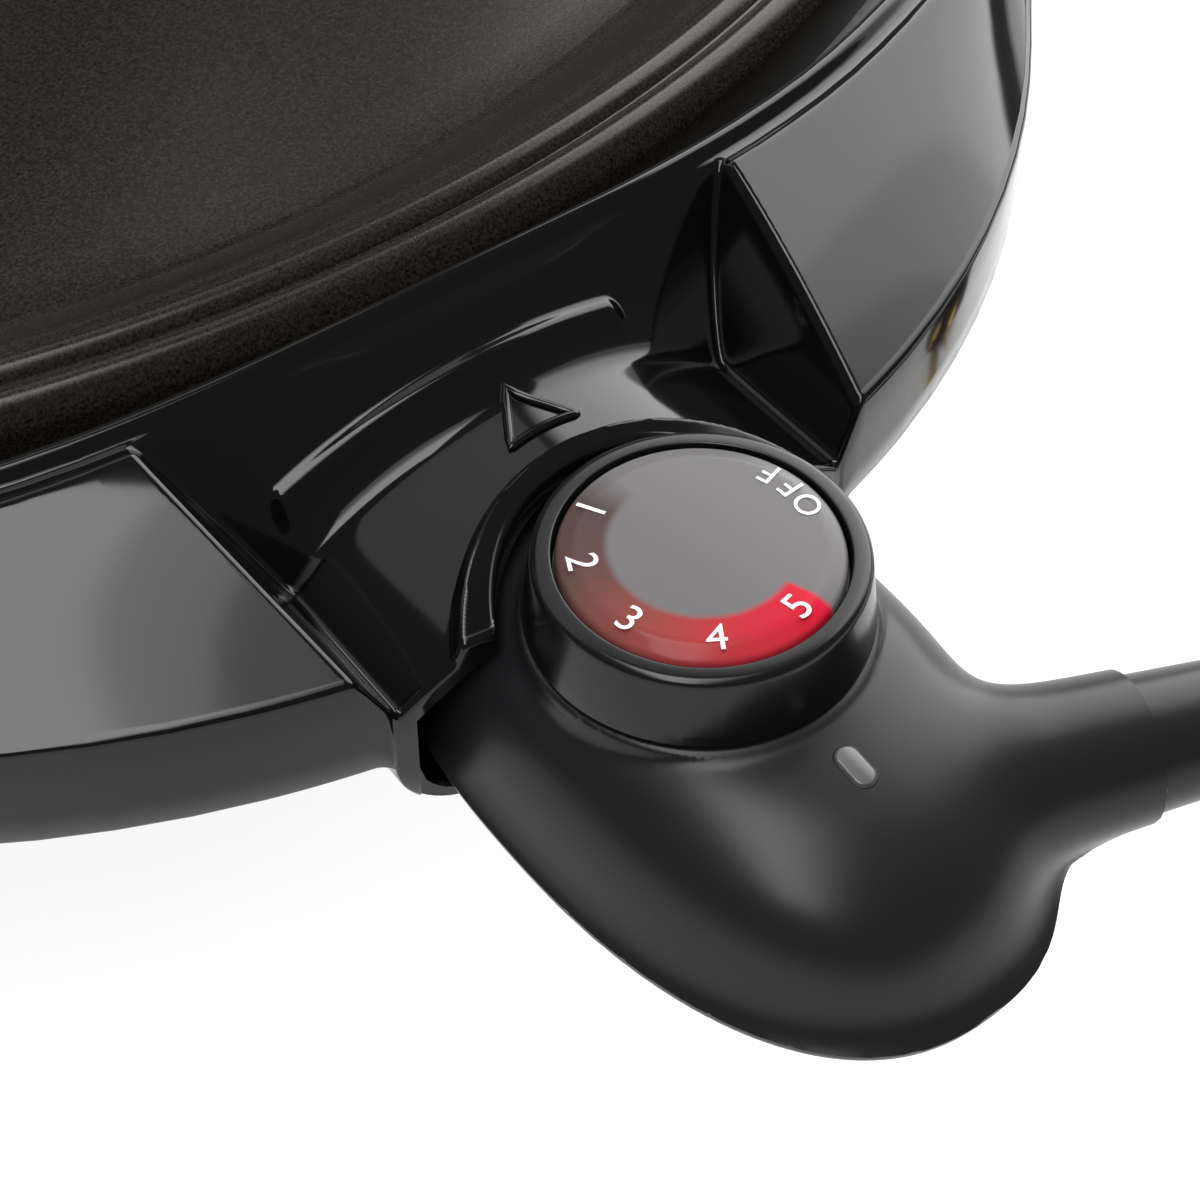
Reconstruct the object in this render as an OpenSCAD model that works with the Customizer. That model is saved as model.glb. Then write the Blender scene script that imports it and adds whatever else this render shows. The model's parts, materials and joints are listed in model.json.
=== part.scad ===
// Round electric outdoor grill with a plug-in temperature control and a hinged lid.
// Millimetres. +X is right, +Y is back and +Z is up; the origin is on the plate's axis, on the table.
// The control plugs in at the front, the lid turns at the back and is drawn open.

/* [Plate] */
// Height of the groove between the plate's two edge beads above the table
plate_z = 110; // [106:1:124]
// Outer radius of the cooking plate
plate_r = 214; // [206:1:222]
// Thickness of the cooking plate
plate_t = 5; // [4:0.5:6]
// Depth of the cooking floor below the bead groove
floor_drop = 9; // [7:0.5:10]
// Width of each of the two edge beads
bead_w = 5.3; // [4.6:0.1:5.6]
// Width of the slope from the cooking floor up to the inner bead
slope_w = 17; // [12:1:24]
// Radius of the ridged middle of the plate
ridge_zone_r = 104; // [70:1:106]
// Spacing of the ridges
ridge_pitch = 20; // [15:1:26]
// Height of the ridges
ridge_h = 3.5; // [2:0.5:5]

/* [Rim housing] */
// Gap between the plate's edge and the rim's lip
lip_gap = 9.3; // [8:0.1:11]
// Height of the lip above the bead groove
lip_rise = 3.7; // [2.5:0.1:5]
// Width of the rim between the wings
ring_w = 7.7; // [7.4:0.1:10]
// How far the front and back wings reach past the lip
wing_reach = 37; // [35:0.5:40]
// How far the carrying wings at the sides reach past the lip
carry_reach = 57; // [45:1:65]
// Radius of the wings' round ends, seen from above
wing_r = 137.7; // [130:0.1:145]
// Depth of the rim's outer edge below the bead groove
edge_drop = 9.3; // [7:0.1:11]
// Height of the skirt
skirt_h = 14.5; // [12:0.5:18]
// Wall thickness of the rim and the control bay
rim_t = 2.5; // [2:0.1:3]

/* [Control bay] */
// Half width of the bay between its side walls, at the height of the skirt's middle
bay_half_w = 32; // [31:0.5:35]
// Slope of the bay's side walls, as sideways run for each unit of height
bay_draft = 0.5; // [0.4:0.05:0.6]
// Slope of the bay's back wall, as outward run for each unit of height
back_draft = 0.37; // [0.3:0.01:0.4]
// Radius of the vaulted floor that covers the control's nose
vault_r = 46; // [45:0.5:50]
// Depth of the vault's crown below the bead groove
vault_drop = 4.6; // [4:0.1:5]
// Half width of the tunnel that the control's nose slides into
tunnel_half_w = 29.5; // [29:0.1:30]
// Radius of the well around the knob
well_r = 21.7; // [21.5:0.1:22.5]
// Width of the raised collar around the well
collar_w = 3; // [2:0.1:4]

/* [Control] */
// Distance of the dial's axis in front of the rim's edge
dial_out = 8.5; // [8:0.1:10]
// Half width of the control's body
body_half_w = 27.5; // [26:0.1:28]
// Half length of the control's egg-shaped outline
body_half_l = 47.5; // [46:0.5:50]
// Wall thickness of the control's shells
shell_t = 2.2; // [1.8:0.1:2.4]
// Depth of the deck around the knob below the bead groove
deck_drop = 9.5; // [9:0.1:10]
// Depth of the parting line of the two shells below the bead groove
parting_drop = 28; // [27:0.5:29]
// Height of the lower shell
lower_h = 4; // [3.5:0.5:4]
// Radius of the neck that the cord leaves by
neck_r = 8.7; // [8:0.1:9]
// Direction of the neck, in degrees from +X towards +Y
neck_turn = -20; // [-25:1:-15]
// Length of the strain relief
relief_len = 45; // [30:1:55]
// Length of the probe in front of the control's nose
probe_len = 88; // [70:1:95]
// Radius of the probe
probe_r = 2.5; // [2:0.1:3]
// Distance of each contact from the probe
contact_gap = 11; // [10:0.5:12]
// Radius of the plate's terminal pins
pin_r = 2.3; // [2:0.1:2.5]

/* [Dial] */
// Radius of the dial's clear lens
lens_r = 15.4; // [15:0.1:16]
// Height of the lens's top above the bead groove
lens_rise = 0.9; // [0:0.1:1.5]
// Radius of the knob at its base
knob_base_r = 19; // [18.5:0.1:20]
// Radius of the knob at its top
knob_top_r = 17; // [16.8:0.1:18]
// Radius of the dial's spindle
spindle_r = 3; // [2.5:0.1:3.5]

/* [Base] */
// Height of the pan's floor above the table
pan_floor_z = 42; // [38:1:48]
// Radius of the pan's floor
pan_floor_r = 185; // [178:1:190]
// Wall thickness of the pan
pan_t = 2.5; // [2:0.1:3]
// Distance of each foot from the centre, along X and along Y
foot_xy = 115; // [105:1:120]
// Radius of a foot at its top
foot_r = 15; // [12:0.5:17]
// Radius of the bore that takes a stand's pole
socket_r = 16; // [14:0.5:18]
// Depth of the bore that takes a stand's pole
socket_len = 36; // [28:1:38]
// Width of the flange around that bore
socket_flange = 18; // [16:1:20]

/* [Heater] */
// Radius of the heating element's loop
element_loop_r = 120; // [112:1:135]
// Radius of the heating element's tube
element_r = 3.5; // [3:0.1:4]
// Turn of the first of the element's three clips, which keeps all of them clear of the probe
clip_turn = 90; // [80:1:100]

/* [Grease tray] */
// Width of the tray
tray_w = 130; // [110:1:136]
// Length of the tray
tray_len = 110; // [90:1:112]
// Depth of the tray
tray_h = 24; // [18:1:26]

/* [Lid] */
// How far the lid reaches past the cooking plate's edge
lid_over = 14; // [13:0.5:15]
// Height of the lid's dome above its upright edge
dome_h = 100; // [80:1:120]
// Height of the lid's upright edge
lid_edge_h = 20; // [18:1:24]
// Sheet thickness of the lid
lid_t = 1.5; // [1.2:0.1:2]
// Angle that the lid is opened by
lid_open = 100; // [95:1:104]
// Radius of the hinge pin
hinge_pin_r = 3; // [2.5:0.1:3.5]
// Length of the lid's handle
handle_len = 150; // [130:1:180]

/* [Cord] */
// Diameter of the cord
cord_d = 8.4; // [7.5:0.1:8.4]

/* [Hidden] */
$fn = 64;
eps = 0.01;
// Clearance between pieces that are fitted together and do not move
seat = 0.05;
// Clearance between pieces that slide or turn past each other
run = 0.3;

// Plate
floor_z = plate_z - floor_drop;
under_z = floor_z - plate_t;
plate_skirt_z = plate_z - 10.5;
plate_skirt_t = 3.5;
bead_r = bead_w / 2;
bead_sink = 1.4;
bead_out_r = plate_r - 1 - bead_r;
bead_in_r = bead_out_r - bead_w;
drain_y = 100;
drain_r = 4;
drain_step = 14;

// Rim
lip_r = plate_r + lip_gap;
lip_z = plate_z + lip_rise;
ring_r = lip_r + ring_w;
front_reach = lip_r + wing_reach;
side_reach = lip_r + carry_reach;
edge_z = plate_z - edge_drop;
skirt_z = edge_z - skirt_h;
wing_y = front_reach - wing_r;
wing_blend = 0.35;
bay_flat = 4.2;
bay_flat_turn = 18;
rim_steps = 120;
lip_w = 1.4;
edge_round = 1.2;
skirt_flare = 0.4;
rim_under_z = plate_skirt_z;
boss_turn = 14;
boss_out = 12.7;
boss_r = 4;
rim_screw_r = 1.5;

// Control bay
vault_z = plate_z - vault_drop - vault_r;
bay_ref_z = plate_z - 15;
collar_z = plate_z - 3;
collar_r = well_r + collar_w;
bay_back_y = -(lip_r - bay_flat + 2.1);
hood_z = plate_z - 35;
hood_corner = 9.5;
web_r = 2.5;
front_y = -front_reach;

// Control
dial_y = front_y - dial_out;
body_y = dial_y - 1.2;
deck_z = plate_z - deck_drop;
deck_r = knob_base_r + 1.5;
parting_z = plate_z - parting_drop;
body_h = deck_z - 0.1 - parting_z;
nose_y = body_y + 34;
probe_z = plate_z - 20;
neck_z = plate_z - 22;
neck_x = 32;
neck_y = dial_y - 35.5;
plan_power = 2.3;
dome_power = 3.2;
rise_power = 2.2;
body_steps = 64;
floor_in_z = parting_z - lower_h + 2;
pin_end_y = nose_y - 10;
block_y = nose_y - shell_t - 0.6;
block_len = 14;
lamp_y = dial_y - 25.5;
lamp_len = 5;
lamp_w = 2.6;
relief_r = neck_r - 0.8;
relief_tip_r = 5.4;
lens_z = plate_z + lens_rise;
knob_z = deck_z + run;
knob_top_z = lens_z - 0.9;
lens_t = 3;

// Base
flange_z = plate_skirt_z;
pan_wall_r = plate_r - 8;
foot_h = 5;
foot_screw_r = 2;
foot_screw_head = 2.2;
foot_screw_grip = 10;
element_z = under_z - 5;
channel_half_w = element_r + 3.5;
leg_y = -(element_loop_r * cos(asin(contact_gap / element_loop_r)));
leg_end_y = -(plate_r - 1);
reflector_z = pan_floor_z + 24;
tray_y = 45;
tray_top_z = pan_floor_z - 6;
tray_lip = 6;
tray_lip_t = 2;
tray_wall = 2;
rail_t = 2.3;

// Lid and hinge
hinge_y = front_reach + 1.7;
hinge_z = lip_z + 10.3;
barrel_r = 6;
barrel_half = 21;
ear_t = 3;
lid_seat_z = lip_z + 0.5;
lid_trim_h = 4;
bracket_screw_x = 16;
bracket_screw_up = 8;
lid_skirt_top = lid_seat_z + lid_edge_h;
lid_r = plate_r + lid_over;
dome_r = (lid_r * lid_r + dome_h * dome_h) / (2 * dome_h);
dome_z = lid_skirt_top + dome_h - dome_r;
handle_out = lid_r - 38;
handle_tilt = asin(handle_out / dome_r);
handle_half = handle_len / 2 - 22;
handle_rise = 34;
handle_r = 9;
post_r = 6;
handle_screw_r = 4.2;
handle_screw_h = 2.4;
post_foot = dome_r - sqrt(dome_r * dome_r - pow(handle_half + post_r, 2)) + 0.5;
screw_dip = dome_r - sqrt(pow(dome_r - lid_t, 2) - pow(handle_half + handle_screw_r, 2)) + seat;
arm_half = 18;
arm_t = 3;
rivet_head_r = 3.2;
rivet_z = hinge_z + arm_t / 2 + rivet_head_r + 0.4;
rivet_x = 10;
rivet_r = 2;

// Cord: the free stretch starts at the strain relief and ends where the coil begins
neck_dir = [cos(neck_turn), sin(neck_turn), 0];
neck_end = [neck_x, neck_y, neck_z];
cord_exit = neck_end + relief_len * neck_dir;
cord_route = [[85, -323.6, 88], [93, -327, 87.8], [101, -330.8, 86.2], [109, -334.6, 83], [118, -338.4, 78],
    [126, -342.2, 71.6], [134, -346, 64], [142, -349.8, 55.5], [150, -353.4, 46.6], [158, -357, 37.7],
    [167, -360.2, 29], [175, -363, 21.4], [184, -365.4, 14.9], [193, -367.3, 10], [202, -368.8, 6.8],
    [210, -369.4, 5.7]];
coil_centre = [225, -308.5];
coil_lift = 1.4;
coil_turns = 2.5;
coil_out_r = 61;
coil_pitch = 9;
coil_layer = 8.9;
coil_steps = 24;
coil_low_z = cord_d / 2 + coil_lift;
coil_in_r = coil_out_r - coil_pitch * (coil_turns + 0.25);
coil_entry = [coil_centre[0] - cord_d, coil_centre[1] - coil_out_r, coil_low_z];
tail_len = 25;
plug_len = 38;
plug_half = 13;
tie_w = 9;
tie_t = 1;
tie_gap = 0.3;

black = "#1b1b1c";
satin = "#2b2b2c";
bronze = "#5b554c";
steel = "#b8babd";
dark_steel = "#4a4b4d";
ceramic = "#e6e0d2";
clear_grey = "#8f8c8c";
red = "#c22d33";

function power(v, p) = exp(p * ln(max(v, 1e-9)));
function turn_from(a, b) = abs(((a - b) % 360 + 540) % 360 - 180);
function wing(reach, phi) =
    let (c = reach - wing_r, s = c * sin(phi))
    phi < 80 && abs(s) < wing_r ? c * cos(phi) + sqrt(wing_r * wing_r - s * s) : 0;
function blend(values) =
    ring_r + ln([for (v = values) exp(wing_blend * (v - ring_r))] * [for (v = values) 1]) / wing_blend;
function rim_out(a) = blend([ring_r, wing(front_reach, turn_from(a, 270)), wing(front_reach, turn_from(a, 90)),
    wing(side_reach, turn_from(a, 0)), wing(side_reach, turn_from(a, 180))]);
function rim_in(a) =
    let (phi = turn_from(a, 270))
    lip_r - (phi < bay_flat_turn ? bay_flat * pow(cos(90 * phi / bay_flat_turn), 2) : 0);
// One cut through the rim, from the inner wall's foot over the lip to the skirt and back underneath
function rim_section(a) =
    let (i = rim_in(a), o = rim_out(a))
    [[i, rim_under_z], [i, lip_z - 0.5], [i + 0.5, lip_z], [i + lip_w, lip_z], [i + lip_w + 1.4, lip_z - 1.4],
     [i + 4.4, lip_z - 1.4], [i + 5, lip_z - 1], [o - edge_round, edge_z + 0.45],
     [o - 0.35 * edge_round, edge_z - 0.2], [o, edge_z - edge_round], [o + skirt_flare, skirt_z],
     [o + skirt_flare - rim_t, skirt_z], [o - rim_t, edge_z - rim_t], [i + rim_t + 1.6, lip_z - 1.4 - rim_t],
     [i + rim_t, lip_z - 2 - rim_t], [i + rim_t, rim_under_z]];
// Height of the rim's sloping top at one turn and radius
function rim_slope(a, r) =
    let (r0 = rim_in(a) + 5, r1 = rim_out(a) - edge_round, z0 = lip_z - 1, z1 = edge_z + 0.45)
    z0 + (z1 - z0) * (r - r0) / (r1 - r0);
function loop_faces(rows, cols) =
    [for (i = [0 : rows - 1]) for (j = [0 : cols - 1])
        let (a = i * cols + j, b = i * cols + (j + 1) % cols,
             c = ((i + 1) % rows) * cols + (j + 1) % cols, d = ((i + 1) % rows) * cols + j)
        each [[a, d, c], [a, c, b]]];
// Faces of a stack of rings: the first ring is the lowest, and each ring runs anticlockwise from above
function stack_faces(rows, cols) =
    concat([[for (j = [0 : cols - 1]) j]],
        [for (i = [0 : rows - 2]) for (j = [0 : cols - 1])
            let (a = i * cols + j, b = i * cols + (j + 1) % cols, c = b + cols, d = a + cols)
            each [[a, d, c], [a, c, b]]],
        [[for (j = [cols - 1 : -1 : 0]) (rows - 1) * cols + j]]);
function egg_point(half_w, half_l, t) =
    let (k = 2 / plan_power)
    [half_w * sign(cos(t)) * power(abs(cos(t)), k), body_y + half_l * sign(sin(t)) * power(abs(sin(t)), k)];
function egg_ring(half_w, half_l, z) =
    [for (i = [0 : body_steps - 1])
        let (p = egg_point(half_w, half_l, 360 * (i + 0.5) / body_steps)) [p[0], p[1], z]];
dome_turns = [0, 12, 24, 36, 47, 57, 66, 74, 81];
function egg_dome(half_w, half_l, z, h) =
    [for (t = dome_turns)
        let (s = power(cos(t), 2 / dome_power))
        each egg_ring(half_w * s, half_l * s, z + (t == 0 ? 0 : h * power(sin(t), 2 / rise_power)))];
// Tube of a round cord along a list of points
function unit(v) = v / norm(v);
function path_dir(path, i) = unit(path[min(i + 1, len(path) - 1)] - path[max(i - 1, 0)]);
function tube_ring(p, d, r, sides) =
    let (u = unit(cross([0, 0, 1], d)), v = cross(d, u))
    [for (k = [0 : sides - 1])
        let (a = 360 * (k + 0.5) / sides) p + r * cos(a) * u + r * sin(a) * v];
function tube_points(path, r, sides) =
    [for (i = [0 : len(path) - 1]) each tube_ring(path[i], path_dir(path, i), r, sides)];
module tube(path, r, sides) {
    polyhedron(tube_points(path, r, sides), stack_faces(len(path), sides), convexity = 10);
}

module screw(head_r, head_h, shank_r, shank_len) {
    cylinder(r = head_r, h = head_h);
    translate([0, 0, head_h - eps]) cylinder(r = shank_r, h = shank_len + eps);
}
// Wedge whose side faces keep the same plan at every height
module lean_block(low, high, z0, z1) {
    polyhedron(
        concat([for (p = low) [p[0], p[1], z0]], [for (p = high) [p[0], p[1], z1]]),
        stack_faces(2, len(low)));
}
function bay_x(z) = bay_half_w + bay_draft * (z - bay_ref_z);
function bay_back(z) = bay_back_y - back_draft * (lip_z - z);
function rim_top(y) = edge_z + (lip_z - 1 - edge_z) * (front_reach + y) / (front_reach - lip_r + bay_flat - 5);

module bay_space() {
    z0 = skirt_z - 20;
    z1 = lip_z + 6;
    lean_block([[-bay_x(z0), front_y - 20], [bay_x(z0), front_y - 20], [bay_x(z0), bay_back(z0)],
        [-bay_x(z0), bay_back(z0)]],
        [[-bay_x(z1), front_y - 20], [bay_x(z1), front_y - 20], [bay_x(z1), bay_back(z1)],
        [-bay_x(z1), bay_back(z1)]], z0, z1);
}
module tunnel_profile(r, half_w, z_low, corner) {
    intersection() {
        translate([0, vault_z]) circle(r);
        union() {
            translate([-half_w, z_low + corner]) square([2 * half_w, r + vault_z - z_low]);
            translate([corner - half_w, z_low]) square([2 * (half_w - corner), corner + 1]);
            for (s = [-1, 1]) translate([s * (half_w - corner), z_low + corner]) circle(corner);
        }
    }
}
module along_y(y0, y1) {
    translate([0, y1, 0]) rotate([90, 0, 0]) linear_extrude(y1 - y0) children();
}
module tunnel_space() {
    along_y(front_y - 20, -plate_r + 4) tunnel_profile(vault_r - rim_t, tunnel_half_w, hood_z + rim_t, hood_corner - rim_t);
}
module wing_solid(r) {
    translate([0, -wing_y, hood_z - 5]) cylinder(r = r, h = lip_z + 10 - hood_z + 5, $fn = 200);
}
module bay_side() {
    z0 = vault_z + sqrt(vault_r * vault_r - bay_half_w * bay_half_w) - 4;
    y0 = front_y + 5;
    y1 = bay_back_y - 3;
    top0 = rim_top(y0) - 0.6;
    top1 = rim_top(y1) - 0.6;
    polyhedron([[bay_x(z0), y0, z0], [bay_x(z0) + rim_t, y0, z0], [bay_x(z0) + rim_t, y1, z0], [bay_x(z0), y1, z0],
        [bay_x(top0), y0, top0], [bay_x(top0) + rim_t, y0, top0], [bay_x(top1) + rim_t, y1, top1],
        [bay_x(top1), y1, top1]],
        [[0, 1, 2], [0, 2, 3], [4, 7, 6], [4, 6, 5], [0, 4, 5], [0, 5, 1], [1, 5, 6], [1, 6, 2],
        [2, 6, 7], [2, 7, 3], [3, 7, 4], [3, 4, 0]]);
}
module bay_back_wall() {
    z0 = vault_z + vault_r - 16;
    z1 = lip_z - 1.6;
    lean_block([[-bay_x(z0) - rim_t, bay_back(z0)], [bay_x(z0) + rim_t, bay_back(z0)],
        [bay_x(z0) + rim_t, bay_back_y + 1.3], [-bay_x(z0) - rim_t, bay_back_y + 1.3]],
        [[-bay_x(z1) - rim_t, bay_back(z1)], [bay_x(z1) + rim_t, bay_back(z1)],
        [bay_x(z1) + rim_t, bay_back_y + 1.3], [-bay_x(z1) - rim_t, bay_back_y + 1.3]], z0, z1);
}
module hood() {
    along_y(front_y - 2, bay_back_y - 2) tunnel_profile(vault_r, tunnel_half_w + rim_t, hood_z, hood_corner);
}
module collar() {
    translate([0, dial_y, 0]) rotate_extrude()
        polygon([[well_r - 2, vault_z + vault_r - 16], [well_r - 2, collar_z - 0.5], [well_r - 1.5, collar_z],
            [collar_r - 0.5, collar_z], [collar_r, collar_z - 0.5], [collar_r + 0.6, collar_z - 1.4],
            [collar_r + 1.9, collar_z - 2.1], [collar_r + 1.9, vault_z + vault_r - 16]]);
}
// Web that carries the skirt's lower edge down to the hood
module hood_web() {
    edge_x = tunnel_half_w + rim_t;
    for (s = [0, 1]) mirror([s, 0, 0]) intersection() {
        difference() {
            wing_solid(wing_r - 0.2);
            wing_solid(wing_r - rim_t);
        }
        along_y(front_y - 2, front_y + 20) difference() {
            translate([edge_x - 1, skirt_z - web_r]) square([1 + web_r, web_r + 2]);
            translate([edge_x + web_r, skirt_z - web_r]) circle(web_r);
        }
    }
}
module bay_marks() {
    rib_half = 24.5;
    along_y(bay_back_y - 6.2, bay_back_y - 4.6) intersection() {
        difference() {
            translate([0, vault_z]) circle(vault_r + 1.2);
            translate([0, vault_z]) circle(vault_r - 1);
        }
        translate([-rib_half, vault_z]) square([2 * rib_half, vault_r + 3]);
    }
    mark_z = vault_z + vault_r - 1;
    base_y = dial_y + collar_r + 3.2;
    apex_y = base_y + 10.2;
    mark_half = 4.6;
    mark_w = 0.9;
    lean = atan2(mark_half, apex_y - base_y);
    side = norm([mark_half, apex_y - base_y]);
    for (s = [-1, 1])
        translate([s * mark_half, base_y, mark_z]) rotate([0, 0, s * lean])
            translate([-mark_w / 2, 0, 0]) cube([mark_w, side, 1.5]);
    translate([-mark_half, base_y - mark_w / 2, mark_z]) cube([2 * mark_half, mark_w, 1.4]);
}
module boss_places() {
    for (w = [0 : 90 : 270]) for (s = [-1, 1])
        rotate([0, 0, w + s * boss_turn]) translate([lip_r + boss_out, 0, 0]) children();
}
module bracket_screw_places() {
    for (s = [-1, 1]) translate([s * bracket_screw_x, 0, skirt_z + bracket_screw_up]) children();
}

module rim_housing() color(black) {
    difference() {
        union() {
            difference() {
                polyhedron([for (i = [0 : rim_steps - 1])
                    let (a = 360 * i / rim_steps)
                    for (p = rim_section(a)) [p[0] * cos(a), p[0] * sin(a), p[1]]],
                    loop_faces(rim_steps, len(rim_section(0))), convexity = 12);
                bay_space();
            }
            intersection() {
                difference() {
                    union() {
                        bay_side();
                        mirror([1, 0, 0]) bay_side();
                        hood();
                        intersection() {
                            collar();
                            along_y(front_y - 2, bay_back_y - 2) translate([-vault_r, vault_z])
                                square([2 * vault_r, lip_z - vault_z]);
                        }
                        bay_marks();
                    }
                    translate([0, dial_y, vault_z]) cylinder(r = well_r, h = 2 * vault_r);
                }
                wing_solid(wing_r - 0.1);
            }
            bay_back_wall();
            hood_web();
            for (w = [0 : 90 : 270]) for (s = [-1, 1])
                let (a = w + s * boss_turn)
                rotate([0, 0, a]) translate([lip_r + boss_out, 0, rim_under_z])
                    cylinder(r = boss_r, h = rim_slope(a, lip_r + boss_out + boss_r) - 0.8 - rim_under_z);
        }
        tunnel_space();
        boss_places() translate([0, 0, rim_under_z - 1]) cylinder(r = rim_screw_r + seat, h = 5);
        bracket_screw_places() translate([0, front_reach - 12, 0]) rotate([-90, 0, 0])
            cylinder(r = rivet_r + seat, h = 20);
    }
}

module base_pan() color(dark_steel) {
    tab_r = 8;
    tab_in = 5;
    notch_half = tunnel_half_w + rim_t + 5.5;
    difference() {
        union() {
            rotate_extrude() polygon([[0, pan_floor_z], [pan_floor_r, pan_floor_z],
                [pan_wall_r + pan_t, flange_z - pan_t], [lip_r + rim_t, flange_z - pan_t],
                [lip_r + rim_t, flange_z], [pan_wall_r, flange_z], [pan_floor_r - pan_t, pan_floor_z + pan_t],
                [0, pan_floor_z + pan_t]]);
            boss_places() translate([0, 0, flange_z - pan_t]) {
                cylinder(r = tab_r, h = pan_t);
                translate([-boss_out - tab_in, -tab_r, 0]) cube([boss_out + tab_in, 2 * tab_r, pan_t]);
            }
        }
        translate([-notch_half, -lip_r - 20, pan_floor_z + 20])
            cube([2 * notch_half, lip_r + 20 - pan_floor_r + 30, plate_z]);
        boss_places() translate([0, 0, flange_z - pan_t - 1])
            cylinder(r = rim_screw_r + seat, h = pan_t + 2);
        translate([0, drain_y, pan_floor_z - 1]) cylinder(r = 15, h = pan_t + 2);
        foot_places() translate([0, 0, pan_floor_z - 1]) cylinder(r = foot_screw_r + seat, h = pan_t + 2);
        for (a = [45 : 90 : 315]) rotate([0, 0, a])
            translate([socket_flange_r - 5, 0, pan_floor_z - 1]) cylinder(r = 2 + seat, h = pan_t + 2);
    }
}

module heat_reflector() color(steel) {
    edge_r = pan_floor_r - pan_t
        + (pan_wall_r - pan_floor_r + pan_t) * (reflector_z - pan_floor_z - pan_t) / (flange_z - pan_floor_z - pan_t);
    difference() {
        translate([0, 0, reflector_z]) cylinder(r = edge_r - run, h = 1.2);
        translate([0, drain_y, reflector_z - 1]) cylinder(r = 18, h = 4);
    }
}

module grill_plate() color(bronze) {
    slope_out = bead_in_r - bead_r + 0.6;
    slope_in = slope_out - slope_w;
    steps = 8;
    top_z = plate_z - 0.3;
    slope = [for (i = [0 : steps])
        let (t = i / steps) [slope_in + slope_w * t, floor_z + (top_z - floor_z) * (1 - cos(180 * t)) / 2]];
    back = [for (i = [steps : -1 : 0])
        let (t = i / steps) [slope_in + slope_w * t, under_z + (top_z - floor_z) * (1 - cos(180 * t)) / 2]];
    difference() {
        union() {
            rotate_extrude() {
                polygon(concat([[0, under_z], [0, floor_z]], slope,
                    [[plate_r - 0.8, top_z], [plate_r, top_z - 1.2], [plate_r, plate_skirt_z],
                    [plate_r - plate_skirt_t, plate_skirt_z], [plate_r - plate_skirt_t, top_z - plate_t]], back));
                for (r = [bead_in_r, bead_out_r]) translate([r, plate_z - bead_sink]) circle(bead_r);
            }
            rotate_extrude() translate([element_loop_r - channel_half_w, element_z])
                square([2 * channel_half_w, under_z - element_z + 1]);
            intersection() {
                translate([0, 0, floor_z - 1]) cylinder(r = ridge_zone_r, h = ridge_h + 1);
                for (i = [-floor(ridge_zone_r / ridge_pitch) : floor(ridge_zone_r / ridge_pitch)])
                    translate([i * ridge_pitch - 2.5, -ridge_zone_r, floor_z - 1])
                        cube([5, 2 * ridge_zone_r, ridge_h + 1]);
            }
        }
        rotate_extrude() translate([element_loop_r, element_z]) circle(element_r + seat);
        translate([-contact_gap - channel_half_w, -element_loop_r - channel_half_w - 1, element_z - 1])
            cube([2 * (contact_gap + channel_half_w), 2 * channel_half_w + 2, under_z - element_z + 1]);
        for (i = [-1 : 1]) translate([i * drain_step + 7, drain_y, under_z - 10])
            cylinder(r = drain_r - 1, h = plate_t + 30);
        clip_places() translate([channel_half_w + 7, 0, under_z - 1]) cylinder(r = 1.6, h = 3);
    }
}

module heating_element() color(dark_steel) {
    difference() {
        rotate_extrude() translate([element_loop_r, element_z]) circle(element_r);
        translate([-contact_gap, leg_y - 20, element_z - 20]) cube([2 * contact_gap, 40, 40]);
    }
    for (s = [-1, 1]) translate([s * contact_gap, leg_y, element_z]) {
        translate([-element_r - 1, -element_r - 1, -element_r - 0.8])
            cube([2 * element_r + 2, 2 * element_r + 2, 2 * element_r + 1.6]);
        rotate([90, 0, 0]) cylinder(r = element_r, h = leg_y - leg_end_y);
    }
}
module terminal_pins() color(steel) {
    for (s = [-1, 1]) translate([s * contact_gap, leg_end_y, probe_z]) rotate([90, 0, 0]) {
        cylinder(r = pin_r, h = leg_end_y - pin_end_y - 2);
        translate([0, 0, leg_end_y - pin_end_y - 2 - eps]) cylinder(r1 = pin_r, r2 = pin_r - 1, h = 2);
    }
}
module terminal_bracket() color(steel) {
    y = leg_end_y + 8;
    half = contact_gap + element_r + 5;
    difference() {
        union() {
            translate([-half, y, probe_z - 7]) cube([2 * half, 2, under_z - probe_z + 7]);
            translate([-half, y, under_z - 2]) cube([2 * half, 14, 2]);
        }
        for (s = [-1, 1]) translate([s * contact_gap, y - 1, element_z]) rotate([-90, 0, 0])
            cylinder(r = element_r + seat, h = 20);
        translate([0, y - 1, probe_z]) rotate([-90, 0, 0]) cylinder(r = probe_r + 2.5 + seat, h = 20);
    }
}
module probe_socket() color(steel) {
    y0 = leg_end_y + 4;
    len = 56;
    difference() {
        union() {
            translate([0, y0, probe_z]) rotate([-90, 0, 0]) cylinder(r = probe_r + 2.5, h = len);
            translate([-2, y0 + len - 20, probe_z]) cube([4, 20, under_z - probe_z]);
        }
        translate([0, y0 - 1, probe_z]) rotate([-90, 0, 0]) cylinder(r = probe_r + 0.1, h = len + 2);
    }
}
module clip_places() {
    for (a = [0 : 120 : 240]) rotate([0, 0, clip_turn + a]) translate([element_loop_r, 0, 0]) children();
}
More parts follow.
